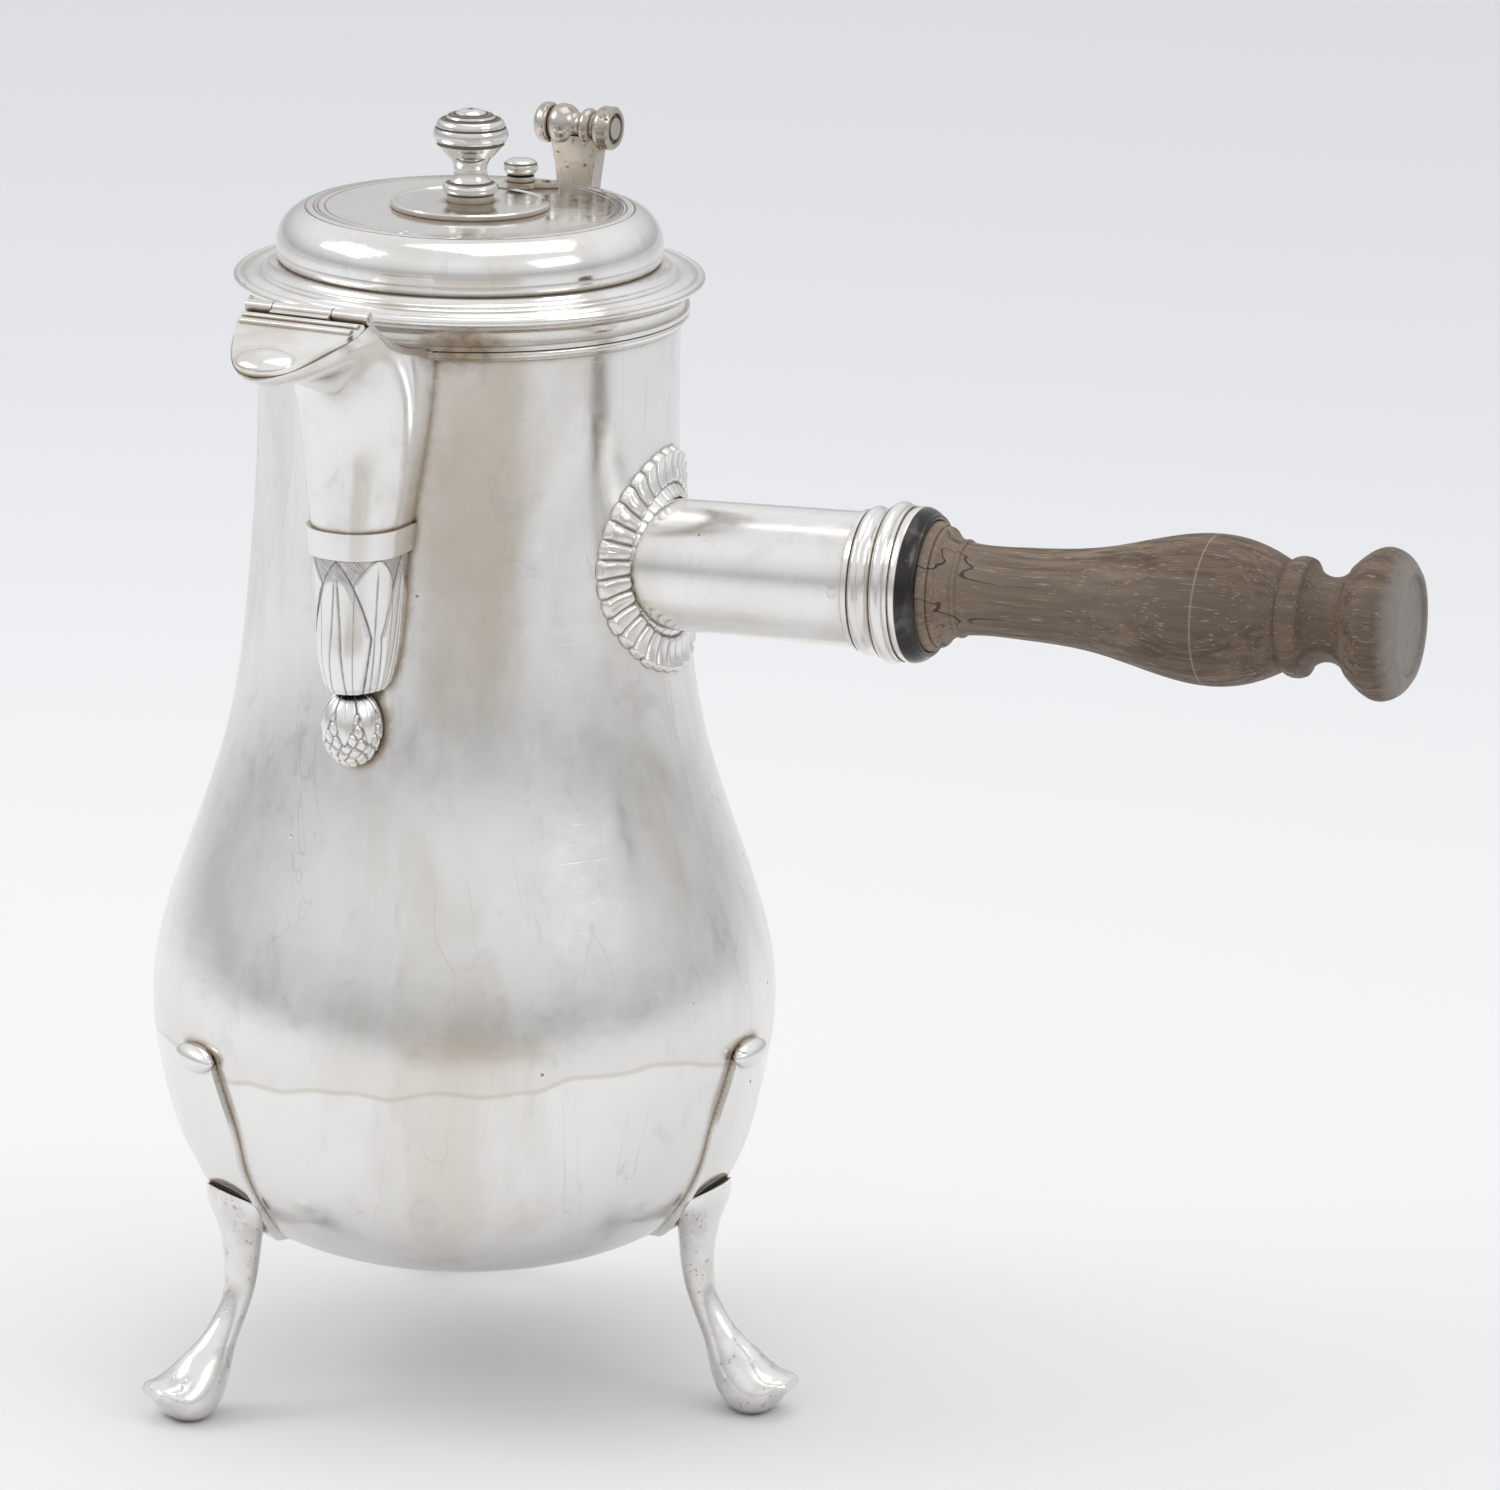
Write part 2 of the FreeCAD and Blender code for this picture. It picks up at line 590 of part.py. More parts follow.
def swivel_disc():
    """Round plate with a raised edge, an ear round the pivot and a pointed finger tab."""
    plate = turned(outline(
        (0, DISC_BOTTOM), (DISC_RADIUS, DISC_BOTTOM), (DISC_RADIUS, DISC_TOP - 0.3),
        (DISC_RADIUS - 0.3, DISC_TOP), (DISC_RADIUS - 1.2, DISC_TOP), (DISC_RADIUS - 1.5, DISC_TOP - 0.25),
        (0, DISC_TOP - 0.25),
    ))
    height = DISC_TOP - DISC_BOTTOM
    ear = rod(EAR_RADIUS, V(0, PIVOT_Y, DISC_BOTTOM), Z_AXIS, height)
    neck = block(-3.0, 3.0, DISC_RADIUS - 1.5, PIVOT_Y, DISC_BOTTOM, DISC_TOP)
    corners = [V(0, PIVOT_Y - 3.2, DISC_BOTTOM), V(7.6, PIVOT_Y + 2.2, DISC_BOTTOM),
               V(7.4, PIVOT_Y + 3.4, DISC_BOTTOM), V(0, PIVOT_Y + 3.5, DISC_BOTTOM)]
    tab = Part.Face(Part.makePolygon(corners + corners[:1])).extrude(V(0, 0, height))
    hole = rod(PIVOT_RADIUS + RUNNING_CLEARANCE, V(0, PIVOT_Y, DISC_BOTTOM - 1), Z_AXIS, 4)
    shank = rod(FINIAL_SHANK_RADIUS, V(0, 0, DISC_BOTTOM - 1), Z_AXIS, 4)
    return plate.fuse(ear).fuse(neck).fuse(tab).cut(hole).cut(shank).removeSplitter()


def swivel_pivot():
    """Rivet with a bun head above the ear, burred over under the cover."""
    under = COVER_TOP - COVER_WALL
    wire = outline(
        (0, under - 0.8), (2.4, under - 0.8), (2.6, under), (PIVOT_RADIUS, under), (PIVOT_RADIUS, 252.6),
        (2.6, 252.7), ((PIVOT_BUN_RADIUS, 254.2), (2.4, 255.8)), (1.0, 256.05), (0, 256.05),
    )
    rivet = turned(wire)
    rivet.translate(V(0, PIVOT_Y, 0))
    return rivet


def pivot_washer():
    ring = rod(2.9, V(0, PIVOT_Y, DISC_TOP + 0.15), Z_AXIS, 1.0)
    return ring.cut(rod(PIVOT_RADIUS, V(0, PIVOT_Y, DISC_TOP - 1), Z_AXIS, 4))


def finial():
    """Turned knob: base bead, waisted neck, grooved bun and small cap."""
    base = DISC_TOP - 0.25
    wire = outline(
        (FINIAL_SHANK_RADIUS, base), (4.9, base), (4.9, 252.5), (5.2, 252.8),
        ((5.8, 253.9), (5.0, 254.9)), (4.3, 255.2),
        [(3.6, 256.4), (3.4, 257.9), (3.9, 259.5), (4.9, 260.6)],
        (6.0, 261.9), (7.0, 262.9), (6.8, 263.3), (7.3, 263.7),
        ((7.75, 264.9), (7.4, 266.3)), (7.0, 266.5), (7.1, 266.9),
        ((6.5, 268.0), (5.5, 268.3)), (5.2, 268.2), (5.0, 268.6),
        ((4.3, 269.2), (3.6, 269.2)), (3.3, 269.0), (3.1, 269.4),
        ((1.9, FINIAL_TOP - 0.1), (0.6, FINIAL_TOP)), (0.5, FINIAL_TOP - 1.2), (0, FINIAL_TOP - 1.2),
        (0, RIVET_TOP), (FINIAL_SHANK_RADIUS, RIVET_TOP),
    )
    return turned(wire)


def finial_rivet():
    return rod(FINIAL_SHANK_RADIUS, V(0, 0, DISC_BOTTOM), Z_AXIS, RIVET_TOP - DISC_BOTTOM)


# ---------------------------------------------------------------- handle

def place_on_handle(shape):
    """Moves a shape drawn along +X from the origin onto the handle's own axis."""
    shape.rotate(ORIGIN, V(0, 1, 0), -HANDLE_RISE)
    shape.rotate(ORIGIN, Z_AXIS, HANDLE_SWING)
    root = math.radians(HANDLE_ROOT_ANGLE)
    root_x = HANDLE_ROOT_RADIUS * math.cos(root)
    root_y = HANDLE_ROOT_RADIUS * math.sin(root)
    shape.translate(V(root_x, root_y, HANDLE_ROOT_Z))
    return shape


def handle_socket():
    """Gently flaring tube whose root is cut to the body."""
    tube = turned(outline(
        (-12, SOCKET_BORE_RADIUS), (-12, SOCKET_RADIUS), (0, SOCKET_RADIUS),
        (COLLAR_START, SOCKET_END_RADIUS), (SOCKET_END, SOCKET_END_RADIUS), (SOCKET_END, SOCKET_BORE_RADIUS),
    ), X_AXIS)
    tube = tube.cut(handle_pin_hole())
    return place_on_handle(tube).cut(body_solid())


def handle_rosette():
    """Round plate hugging the body about the socket."""
    disc = rod(ROSETTE_RADIUS, V(-30, 0, 0), X_AXIS, 60)
    disc = disc.cut(rod(SOCKET_RADIUS, V(-40, 0, 0), X_AXIS, 80))
    disc = place_on_handle(disc)
    plate = body_solid(ROSETTE_THICKNESS).common(disc).cut(body_solid())
    return plate.common(block(20, 80, -40, 40, 140, 220)).cut(place_on_handle(socket_filled()))


def socket_filled():
    return turned(outline((-12, 0), (-12, SOCKET_RADIUS), (0, SOCKET_RADIUS),
                          (COLLAR_START, SOCKET_END_RADIUS), (COLLAR_START, 0)), X_AXIS)


def handle_collar():
    """Reeded collar: fillet, bead, cavetto and a bold reed."""
    inner = SOCKET_END_RADIUS
    wire = outline(
        (COLLAR_START, inner), (COLLAR_START, 14.6), (45.3, 14.8), (45.5, 14.5), ((46.5, 15.4), (47.6, 15.0)),
        ((49.0, 15.0), (50.2, 15.8)), (50.5, 15.5), ((51.8, 16.7), (53.2, 16.1)), (53.4, 15.8),
        (COLLAR_END, 16.0), (COLLAR_END, inner),
    )
    return place_on_handle(turned(wire, X_AXIS))


def handle_end_ring():
    """Heavy half-round ring at the open end of the socket."""
    inner = SOCKET_END_RADIUS
    wire = outline(
        (COLLAR_END, inner), (COLLAR_END, 15.6), ((56.9, 16.0), (59.2, 14.7)), ((59.8, 14.0), (59.5, 13.5)),
        (SOCKET_END, 13.45), (SOCKET_END, inner),
    )
    return place_on_handle(turned(wire, X_AXIS))


def handle_grip():
    """Turned wooden grip with its tenon, bead and cove, waisted hand grip, ring, cove and end knob."""
    wire = outline(
        (TENON_START, 0), (TENON_START, TENON_RADIUS - 0.6), (TENON_START + 1, TENON_RADIUS),
        (GRIP_START, TENON_RADIUS), (GRIP_START, 13.2),
        ((60.2, 13.25), (61.4, 12.6)), (61.5, 12.2), ((62.1, 12.4), (62.7, 12.0)),
        ((64.3, 10.4), (65.7, 9.9)), ((66.3, 10.1), (66.8, 9.55)),
        [(71.0, 9.2), (78.0, 9.35), (86.3, 9.75), (95.0, 10.8), (103.2, 12.7), (111.7, 14.7), (119.0, 15.45),
         (125.5, 14.75), (130.5, 13.1), (133.6, 11.6)],
        (134.3, 11.1), ((136.6, 12.3), (139.0, 11.9)),
        ((144.0, 8.6), (148.0, 11.5)), (148.4, 11.9),
        [(150.8, 14.0), (154.3, KNOB_RADIUS), (157.6, 14.6), (159.6, 12.6)],
        (160.2, 11.7), (160.2, 10.6), (159.5, 10.2), (159.5, 0),
    )
    return place_on_handle(turned(wire, X_AXIS).cut(handle_pin_hole()))


def handle_pin_hole():
    return rod(HANDLE_PIN_RADIUS, V(HANDLE_PIN_AT, -30, 0), V(0, 1, 0), 60)


def handle_pin():
    reach = SOCKET_END_RADIUS - 0.1
    return place_on_handle(rod(HANDLE_PIN_RADIUS, V(HANDLE_PIN_AT, -reach, 0), V(0, 1, 0), 2 * reach))


# ---------------------------------------------------------------- all the pieces

def pieces():
    made = {
        "body_shell": body_shell(),
        "rim_band": rim_band(),
        "spout_body": spout_body(),
        "spout_leaf_mount": spout_leaf_mount(),
        "spout_strap": spout_strap(),
        "spout_berry": spout_berry(),
        "spout_bridge": spout_bridge(),
        "spout_hinge_knuckles": spout_hinge_knuckles(),
        "spout_hinge_pin": spout_hinge_pin(),
        "spout_flap": spout_flap(),
        "spout_flap_knuckle": spout_flap_knuckle(),
        "cover": cover(),
        "cover_bezel": cover_bezel(),
        "stirrer_bezel": stirrer_bezel(),
        "cover_hinge_bracket": cover_hinge_bracket(),
        "cover_hinge_leaf": cover_hinge_leaf(),
        "cover_hinge_pin": cover_hinge_pin(),
        "cover_thumbpiece": cover_thumbpiece(),
        "swivel_disc": swivel_disc(),
        "swivel_pivot": swivel_pivot(),
        "pivot_washer": pivot_washer(),
        "finial": finial(),
        "finial_rivet": finial_rivet(),
        "handle_rosette": handle_rosette(),
        "handle_socket": handle_socket(),
        "handle_collar": handle_collar(),
        "handle_end_ring": handle_end_ring(),
        "handle_grip": handle_grip(),
        "handle_pin": handle_pin(),
    }
    for side, angle in LEG_ANGLES.items():
        made["leg_" + side] = leg(angle)
        made["leg_plate_" + side] = leg_plate(angle)
    return made


def export(made):
    """Writes each piece about the middle of the underside of the whole pot's box."""
    box = Part.makeCompound(list(made.values())).optimalBoundingBox()
    shift = V(-box.Center.x, -box.Center.y, -box.ZMin)
    os.makedirs("parts", exist_ok=True)
    for name, shape in made.items():
        shape.translate(shift)
        shape.exportStep("parts/" + name + ".step")
        print(name, len(shape.Solids), "solid,", round(shape.Volume, 2), "mm3, valid", shape.isValid())
    print("moved by", shift)


export(pieces())
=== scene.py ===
"""Looks of the silver coffee pot: relief pieces, patinated silver, old dry wood, floor, light and camera.

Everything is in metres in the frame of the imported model. Angles round the pot are measured about its
own upright axis, from +X towards +Y; the spout points towards -Y and the handle towards +X.
"""

import json
import math

import bpy
import numpy as np
from mathutils import Matrix, Vector
from mathutils.bvhtree import BVHTree


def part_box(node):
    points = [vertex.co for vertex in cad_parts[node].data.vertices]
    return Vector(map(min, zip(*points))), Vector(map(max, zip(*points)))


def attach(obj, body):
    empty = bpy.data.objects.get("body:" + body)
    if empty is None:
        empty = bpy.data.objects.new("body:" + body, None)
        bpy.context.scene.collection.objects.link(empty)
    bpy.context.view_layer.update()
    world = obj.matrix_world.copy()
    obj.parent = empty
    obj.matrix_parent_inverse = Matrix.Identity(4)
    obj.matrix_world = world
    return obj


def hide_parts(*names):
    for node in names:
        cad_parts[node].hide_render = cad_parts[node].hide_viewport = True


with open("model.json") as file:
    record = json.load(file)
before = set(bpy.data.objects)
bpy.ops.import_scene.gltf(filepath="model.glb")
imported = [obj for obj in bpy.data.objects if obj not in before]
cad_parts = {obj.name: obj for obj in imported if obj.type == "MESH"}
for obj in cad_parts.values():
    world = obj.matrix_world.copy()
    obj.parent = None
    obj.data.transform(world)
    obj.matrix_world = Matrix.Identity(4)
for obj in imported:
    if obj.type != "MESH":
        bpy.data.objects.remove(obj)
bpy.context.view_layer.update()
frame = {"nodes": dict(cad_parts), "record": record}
NODES = frame["nodes"]
MM = 0.001


def middle(node):
    low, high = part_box(node)
    return (low + high) / 2


AXIS = Vector((middle("rim_band").x, middle("rim_band").y, 0))
# the handle's root is where its own axis starts, inside the neck; the collar's middle is 49.3 mm along it
ROOT_TO_COLLAR = 49.3 * MM
HANDLE_DIRECTION = (middle("handle_end_ring") - middle("handle_collar")).normalized()
HANDLE_ORIGIN = middle("handle_collar") - HANDLE_DIRECTION * ROOT_TO_COLLAR
RAY_START = 30 * MM

# ---------------------------------------------------------------- node helpers


class Paint:
    """A material being built: short calls that add a node and return its output socket."""

    def __init__(self, name):
        self.material = bpy.data.materials.new(name)
        self.material.use_nodes = True
        self.nodes = self.material.node_tree.nodes
        self.links = self.material.node_tree.links
        self.shader = self.nodes["Principled BSDF"]
        self.position = self.add("ShaderNodeTexCoord").outputs["Object"]

    def add(self, kind, inputs=None, **settings):
        node = self.nodes.new(kind)
        for key, value in settings.items():
            setattr(node, key, value)
        for key, value in (inputs or {}).items():
            self.put(node.inputs[key], value)
        return node

    def put(self, socket, value):
        if isinstance(value, bpy.types.NodeSocket):
            self.links.new(value, socket)
        else:
            socket.default_value = value

    def maths(self, operation, a, b=0.0, clamp=False):
        node = self.add("ShaderNodeMath", {0: a, 1: b}, operation=operation)
        node.use_clamp = clamp
        return node.outputs[0]

    def times(self, a, b):
        return self.maths("MULTIPLY", a, b)

    def larger(self, a, b):
        return self.maths("MAXIMUM", a, b)

    def distance(self, a, b):
        """How far apart two values are."""
        return self.maths("ABSOLUTE", self.maths("SUBTRACT", a, b))

    def scaled(self, vector, factors):
        return self.add("ShaderNodeVectorMath", {0: vector, 1: factors}, operation="MULTIPLY").outputs[0]

    def dot(self, vector, direction):
        node = self.add("ShaderNodeVectorMath", {0: vector, 1: tuple(direction)}, operation="DOT_PRODUCT")
        return node.outputs["Value"]

    def from_point(self, point):
        node = self.add("ShaderNodeVectorMath", {0: self.position, 1: tuple(point)}, operation="SUBTRACT")
        return node.outputs[0]

    def length(self, vector):
        return self.add("ShaderNodeVectorMath", {0: vector}, operation="LENGTH").outputs["Value"]

    def height(self):
        return self.dot(self.position, (0.0, 0.0, 1.0))

    def place(self, x, y, z):
        return self.add("ShaderNodeCombineXYZ", {"X": x, "Y": y, "Z": z}).outputs[0]

    def hollow(self, reach):
        """1 in the open, down to 0 in a narrow hollow; reach in metres."""
        return self.add("ShaderNodeAmbientOcclusion", {"Distance": reach}, samples=8).outputs["AO"]

    def noise(self, vector, scale, detail=3.0, rough=0.5, distortion=0.0):
        node = self.add("ShaderNodeTexNoise", {"Vector": vector, "Scale": scale, "Detail": detail,
                                               "Roughness": rough, "Distortion": distortion})
        return node.outputs["Fac"]

    def ramp(self, value, low, high, to_low=0.0, to_high=1.0):
        node = self.add("ShaderNodeMapRange", {"Value": value, "From Min": low, "From Max": high,
                                               "To Min": to_low, "To Max": to_high})
        node.interpolation_type = "SMOOTHSTEP"
        return node.outputs["Result"]

    def mix(self, factor, a, b):
        node = self.add("ShaderNodeMix", data_type="RGBA")
        self.put(node.inputs["Factor"], factor)
        self.put(node.inputs["A"], a if isinstance(a, bpy.types.NodeSocket) else (*a, 1.0))
        self.put(node.inputs["B"], b if isinstance(b, bpy.types.NodeSocket) else (*b, 1.0))
        return node.outputs["Result"]

    def attribute(self, name):
        return self.add("ShaderNodeAttribute", attribute_name=name).outputs["Fac"]

    def bump(self, height, distance, strength=1.0, normal=None):
        inputs = {"Height": height, "Distance": distance, "Strength": strength}
        if normal is not None:
            inputs["Normal"] = normal
        return self.add("ShaderNodeBump", inputs).outputs["Normal"]


# ---------------------------------------------------------------- silver

BRIGHT = (0.845, 0.838, 0.822)
# warm film colour; the upright clouds painted in it are partly real tarnish and partly painted reflection
# bands
FILM = (0.665, 0.615, 0.545)
GREY_FILM = (0.50, 0.485, 0.465)
TIDE = (0.54, 0.465, 0.36)
BROWN = (0.36, 0.28, 0.195)
PIT_BROWN = (0.40, 0.33, 0.25)
TARNISH = (0.060, 0.043, 0.029)
# near-black end ring: partly black tarnish, partly a painted dark reflection
BLACK_TARNISH_AND_PAINTED_REFLECTION = (0.050, 0.047, 0.045)

TARNISH_ROUGHNESS = 0.55
# brown patch on the rim band, beside the spout on the handle's side
SMUDGE_CENTRE = AXIS + Vector((19.5, -42.0, 229.5)) * MM
TIDE_HEIGHT = 78 * MM
BLACK_EDGE = 0.12
TIDE_SWAY = 30 * MM
TIDE_LINE = 0.85 * MM
STAIN_DEPTH = 16 * MM
SOLDER_BEADS_PER_METRE = 5600.0
GROOVE_HALF_WIDTH = 0.30 * MM
CIRCLE_HALF_WIDTH = 0.21 * MM
SCRATCH_DIRECTIONS = ((0.55, 0.83), (0.9, -0.43), (0.1, 0.99), (-0.7, 0.71))
SCRATCH_DEPTH = 0.006 * MM


class Silver(Paint):
    """Old hand-polished silver. Its colour, dirt (black tarnish) and fringe (brown tarnish) are built up
    one layer after another."""

    def films_and_painted_reflections(self, film_and_reflection, bright, black_from):
        """Films of polish and light tarnish in large soft clouds, stretched up and down; the upright clouds
        are partly painted reflection bands. Beyond black_from along the handle, in mm, the metal under them is
        painted black, partly black tarnish and partly a painted dark reflection."""
        cloud = self.noise(self.scaled(self.position, (34.0, 34.0, 13.0)), 1.0, 4.0, 0.55, 0.6)
        smear = self.noise(self.scaled(self.position, (90.0, 90.0, 60.0)), 1.0, 5.0, 0.6, 1.2)
        # the clouds, stretched upright, are partly real tarnish and partly painted reflection bands
        film_and_reflection_mask = self.times(self.ramp(cloud, 0.44, 0.70), film_and_reflection)
        smear_mask = self.times(self.ramp(smear, 0.56, 0.74), 0.35 * film_and_reflection + 0.05)
        metal = self.mix(film_and_reflection_mask, bright, FILM)
        # paints the metal black past this place along the handle: partly tarnish, partly a painted dark
        # reflection
        if black_from:
            along = self.dot(self.from_point(HANDLE_ORIGIN), HANDLE_DIRECTION)
            beyond = self.ramp(along, (black_from - BLACK_EDGE) * MM, (black_from + BLACK_EDGE) * MM)
            metal = self.mix(beyond, metal, BLACK_TARNISH_AND_PAINTED_REFLECTION)
        self.colour = self.mix(smear_mask, metal, GREY_FILM)

    def drying_lines(self, tide):
        """One long line where liquid dried round the belly, its stain above it, and faint upright runs."""
        sway_noise = self.noise(self.scaled(self.position, (15.0, 15.0, 0.0)), 1.0, 3.0, 0.5)
        sway = self.times(self.maths("SUBTRACT", sway_noise, 0.5), TIDE_SWAY)
        above = self.maths("SUBTRACT", self.height(), self.maths("ADD", sway, TIDE_HEIGHT))
        line = self.ramp(self.maths("ABSOLUTE", above), TIDE_LINE, 0.15 * MM)
        stain = self.times(self.ramp(above, 0.0, 0.6 * MM), self.ramp(above, STAIN_DEPTH, MM))
        runs = self.noise(self.scaled(self.position, (62.0, 62.0, 4.5)), 1.0, 3.0, 0.55, 0.8)
        run_edge = self.ramp(self.distance(runs, 0.52), 0.010, 0.002)
        broken = self.ramp(self.noise(self.position, 34.0, 2.0), 0.44, 0.60)
        self.colour = self.mix(self.times(run_edge, self.times(broken, 0.26 * tide)), self.colour, TIDE)
        self.colour = self.mix(self.times(stain, 0.32 * tide), self.colour, FILM)
        self.colour = self.mix(self.times(line, 0.5 * tide), self.colour, TIDE)

    def hollows(self, reach, recess, beads):
        """Tarnish that the polishing cloth leaves in hollows: brown at the fringe, black at the bottom."""
        self.speckle = self.noise(self.position, 420.0, 3.0, 0.6)
        uneven = self.times(self.maths("SUBTRACT", self.speckle, 0.5), 0.22)
        hollow = self.maths("ADD", self.hollow(reach * MM), uneven)
        self.fringe = self.maths("MULTIPLY", self.ramp(hollow, 0.93, 0.55), 0.72 * recess, clamp=True)
        if beads:
            dotted = self.maths("SINE", self.times(self.height(), SOLDER_BEADS_PER_METRE))
            hollow = self.maths("ADD", hollow, self.times(dotted, -beads))
        self.dirt = self.maths("MULTIPLY", self.ramp(hollow, 0.58, 0.26), recess, clamp=True)

    def smudge_beside_spout(self, strength):
        far = self.length(self.scaled(self.from_point(SMUDGE_CENTRE), (0.75, 0.75, 1.6)))
        ragged = self.times(self.noise(self.position, 130.0, 3.0, 0.6), 8 * MM)
        spot = self.ramp(self.maths("ADD", far, ragged), 15 * MM, 6.5 * MM)
        self.fringe = self.larger(self.fringe, self.times(spot, strength))
        black = self.times(self.times(spot, self.ramp(self.speckle, 0.42, 0.62)), 0.35)
        self.dirt = self.larger(self.dirt, black)

    def turned_grooves(self, levels):
        for level in levels:
            groove = self.ramp(self.distance(self.height(), level * MM), GROOVE_HALF_WIDTH, 0.10 * MM)
            self.dirt = self.larger(self.dirt, self.times(groove, 0.92))

    def engraved_circles(self, radii):
        """Dark, partly worn circles on the flat top of the cover."""
        radius = self.length(self.scaled(self.from_point(AXIS), (1.0, 1.0, 0.0)))
        worn = self.ramp(self.noise(self.position, 55.0, 2.0), 0.30, 0.55, 0.35, 0.95)
        on_top = self.ramp(self.height(), 246.5 * MM, 247.5 * MM)
        for size in radii:
            ring = self.ramp(self.distance(radius, size * MM), CIRCLE_HALF_WIDTH, 0.09 * MM)
            ring = self.times(self.times(ring, worn), on_top)
            self.dirt = self.larger(self.dirt, self.times(ring, 0.85))

    def relief_lines(self):
        """Tarnish written on the mesh of a relief piece."""
        lines = self.times(self.attribute("tarnish"), self.ramp(self.speckle, 0.25, 0.6, 0.55, 1.0))
        self.dirt = self.larger(self.dirt, lines)

    def casting_pits(self, pits):
        zone = self.ramp(self.noise(self.position, 160.0, 2.0, 0.5), 0.45, 0.62)
        pit = self.times(self.ramp(self.noise(self.position, 900.0, 2.0, 0.5), 0.60, 0.70), zone)
        self.dirt = self.larger(self.dirt, self.maths("MULTIPLY", pit, 0.8 * pits, clamp=True))
        brown = self.maths("MULTIPLY", zone, 0.45 * pits, clamp=True)
        self.colour = self.mix(brown, self.colour, PIT_BROWN)
        return pit

    def specks(self):
        """Small round dark specks, in patches."""
        cells = self.add("ShaderNodeTexVoronoi", {"Vector": self.position, "Scale": 115.0, "Randomness": 1.0})
        speck = self.ramp(cells.outputs["Distance"], 0.055, 0.03)
        rare = self.ramp(self.noise(self.position, 60.0, 1.0), 0.51, 0.58)
        spots = self.times(speck, rare)
        self.dirt = self.larger(self.dirt, self.times(spots, 0.75))
        return spots

    def undulation(self, wave):
        """Hammer planishing, broad and narrow; wave in mm."""
        broad = self.noise(self.scaled(self.position, (1.0, 1.0, 0.55)), 26.0, 2.0, 0.4)
        narrow = self.noise(self.position, 62.0, 2.0, 0.45)
        return self.bump(narrow, wave * MM * 2.6, 1.0, self.bump(broad, wave * MM * 7.0))

    def scratches(self, amount, normal):
        """Fine hairlines in several directions."""
        for turn, (a, b) in enumerate(SCRATCH_DIRECTIONS):
            along = self.dot(self.position, (a * 18, b * 18, 8.0))
            across = self.dot(self.position, (-b * 1100, a * 1100, 260.0 - 130.0 * turn))
            upward = self.dot(self.position, (30.0, -20.0, 1500.0 - 420.0 * turn))
            line = self.ramp(self.noise(self.place(along, across, upward), 1.0, 2.0, 0.5), 0.66, 0.74)
            normal = self.bump(line, -SCRATCH_DEPTH * amount, 0.7, normal)
        return normal

    def wiped_roughness(self, roughness):
        """Cloudy where it was wiped, rougher where it is tarnished."""
        cloud = self.noise(self.scaled(self.position, (150.0, 150.0, 70.0)), 1.0, 4.0, 0.6)
        wiped = self.ramp(cloud, 0.3, 0.75, roughness - 0.04, roughness + 0.09)
        blend = self.add("ShaderNodeMix", {"Factor": self.dirt}, data_type="FLOAT")
        self.put(blend.inputs["A"], wiped)
        self.put(blend.inputs["B"], TARNISH_ROUGHNESS)
        return blend.outputs["Result"]


def silver(name, film_and_reflection=0.35, roughness=0.17, wave=0.05, scratch=1.0, recess=1.0, reach=2.2, pits=0.0,
           relief=False, bright=BRIGHT, tide=0.0, smudge=0.0, circles=(), grooves=(), beads=0.0,
           black_from=None):
    """film: how much of the warm tarnish layer, which also paints upright reflection bands; wave: undulation
    in mm;
    recess: how dark the hollows are; reach: how far tarnish creeps out of a hollow, in mm; pits: casting pits;
    tide: drying lines; smudge: the brown patch beside the spout; circles: radii in mm; grooves: heights in mm;
    beads: dotted solder along an edge; black_from: place along the handle in mm where the metal is painted
    black, partly black tarnish and partly a painted dark reflection."""
    p = Silver(name)
    p.films_and_painted_reflections(film_and_reflection, bright, black_from)
    if tide:
        p.drying_lines(tide)
    p.hollows(reach, recess, beads)
    if smudge:
        p.smudge_beside_spout(smudge)
    p.colour = p.mix(p.fringe, p.colour, BROWN)
    p.turned_grooves(grooves)
    if circles:
        p.engraved_circles(circles)
    if relief:
        p.relief_lines()
    normal = p.scratches(scratch, p.undulation(wave))
    if pits:
        normal = p.bump(p.times(p.casting_pits(pits), -1.0), 0.16 * MM * pits, 1.0, normal)
    normal = p.bump(p.times(p.specks(), -1.0), 0.08 * MM, 1.0, normal)
    p.put(p.shader.inputs["Base Color"], p.mix(p.dirt, p.colour, TARNISH))
    p.put(p.shader.inputs["Roughness"], p.wiped_roughness(roughness))
    p.put(p.shader.inputs["Normal"], normal)
    p.put(p.shader.inputs["Metallic"], p.ramp(p.larger(p.fringe, p.dirt), 0.08, 0.65, 1.0, 0.15))
    return p.material


# ---------------------------------------------------------------- wood

GRAIN_DARK, GRAIN_LIGHT = (0.060, 0.038, 0.025), (0.235, 0.170, 0.115)
GRAIN_BROAD = (0.165, 0.130, 0.098)
WORN_BY_SOCKET, HANDLED_BULB = (0.27, 0.205, 0.155), (0.090, 0.057, 0.037)
PORE_DUST, CRACK_DARK, HOLLOW_DARK = (0.40, 0.33, 0.26), (0.022, 0.015, 0.011), (0.030, 0.021, 0.015)
BLEACHED, TURNED_LINE = (0.30, 0.285, 0.27), (0.36, 0.31, 0.26)
TURNED_LINE_AT = 118.8 * MM
GRAIN_ACROSS, CRACKS_ACROSS = 520.0, 150.0


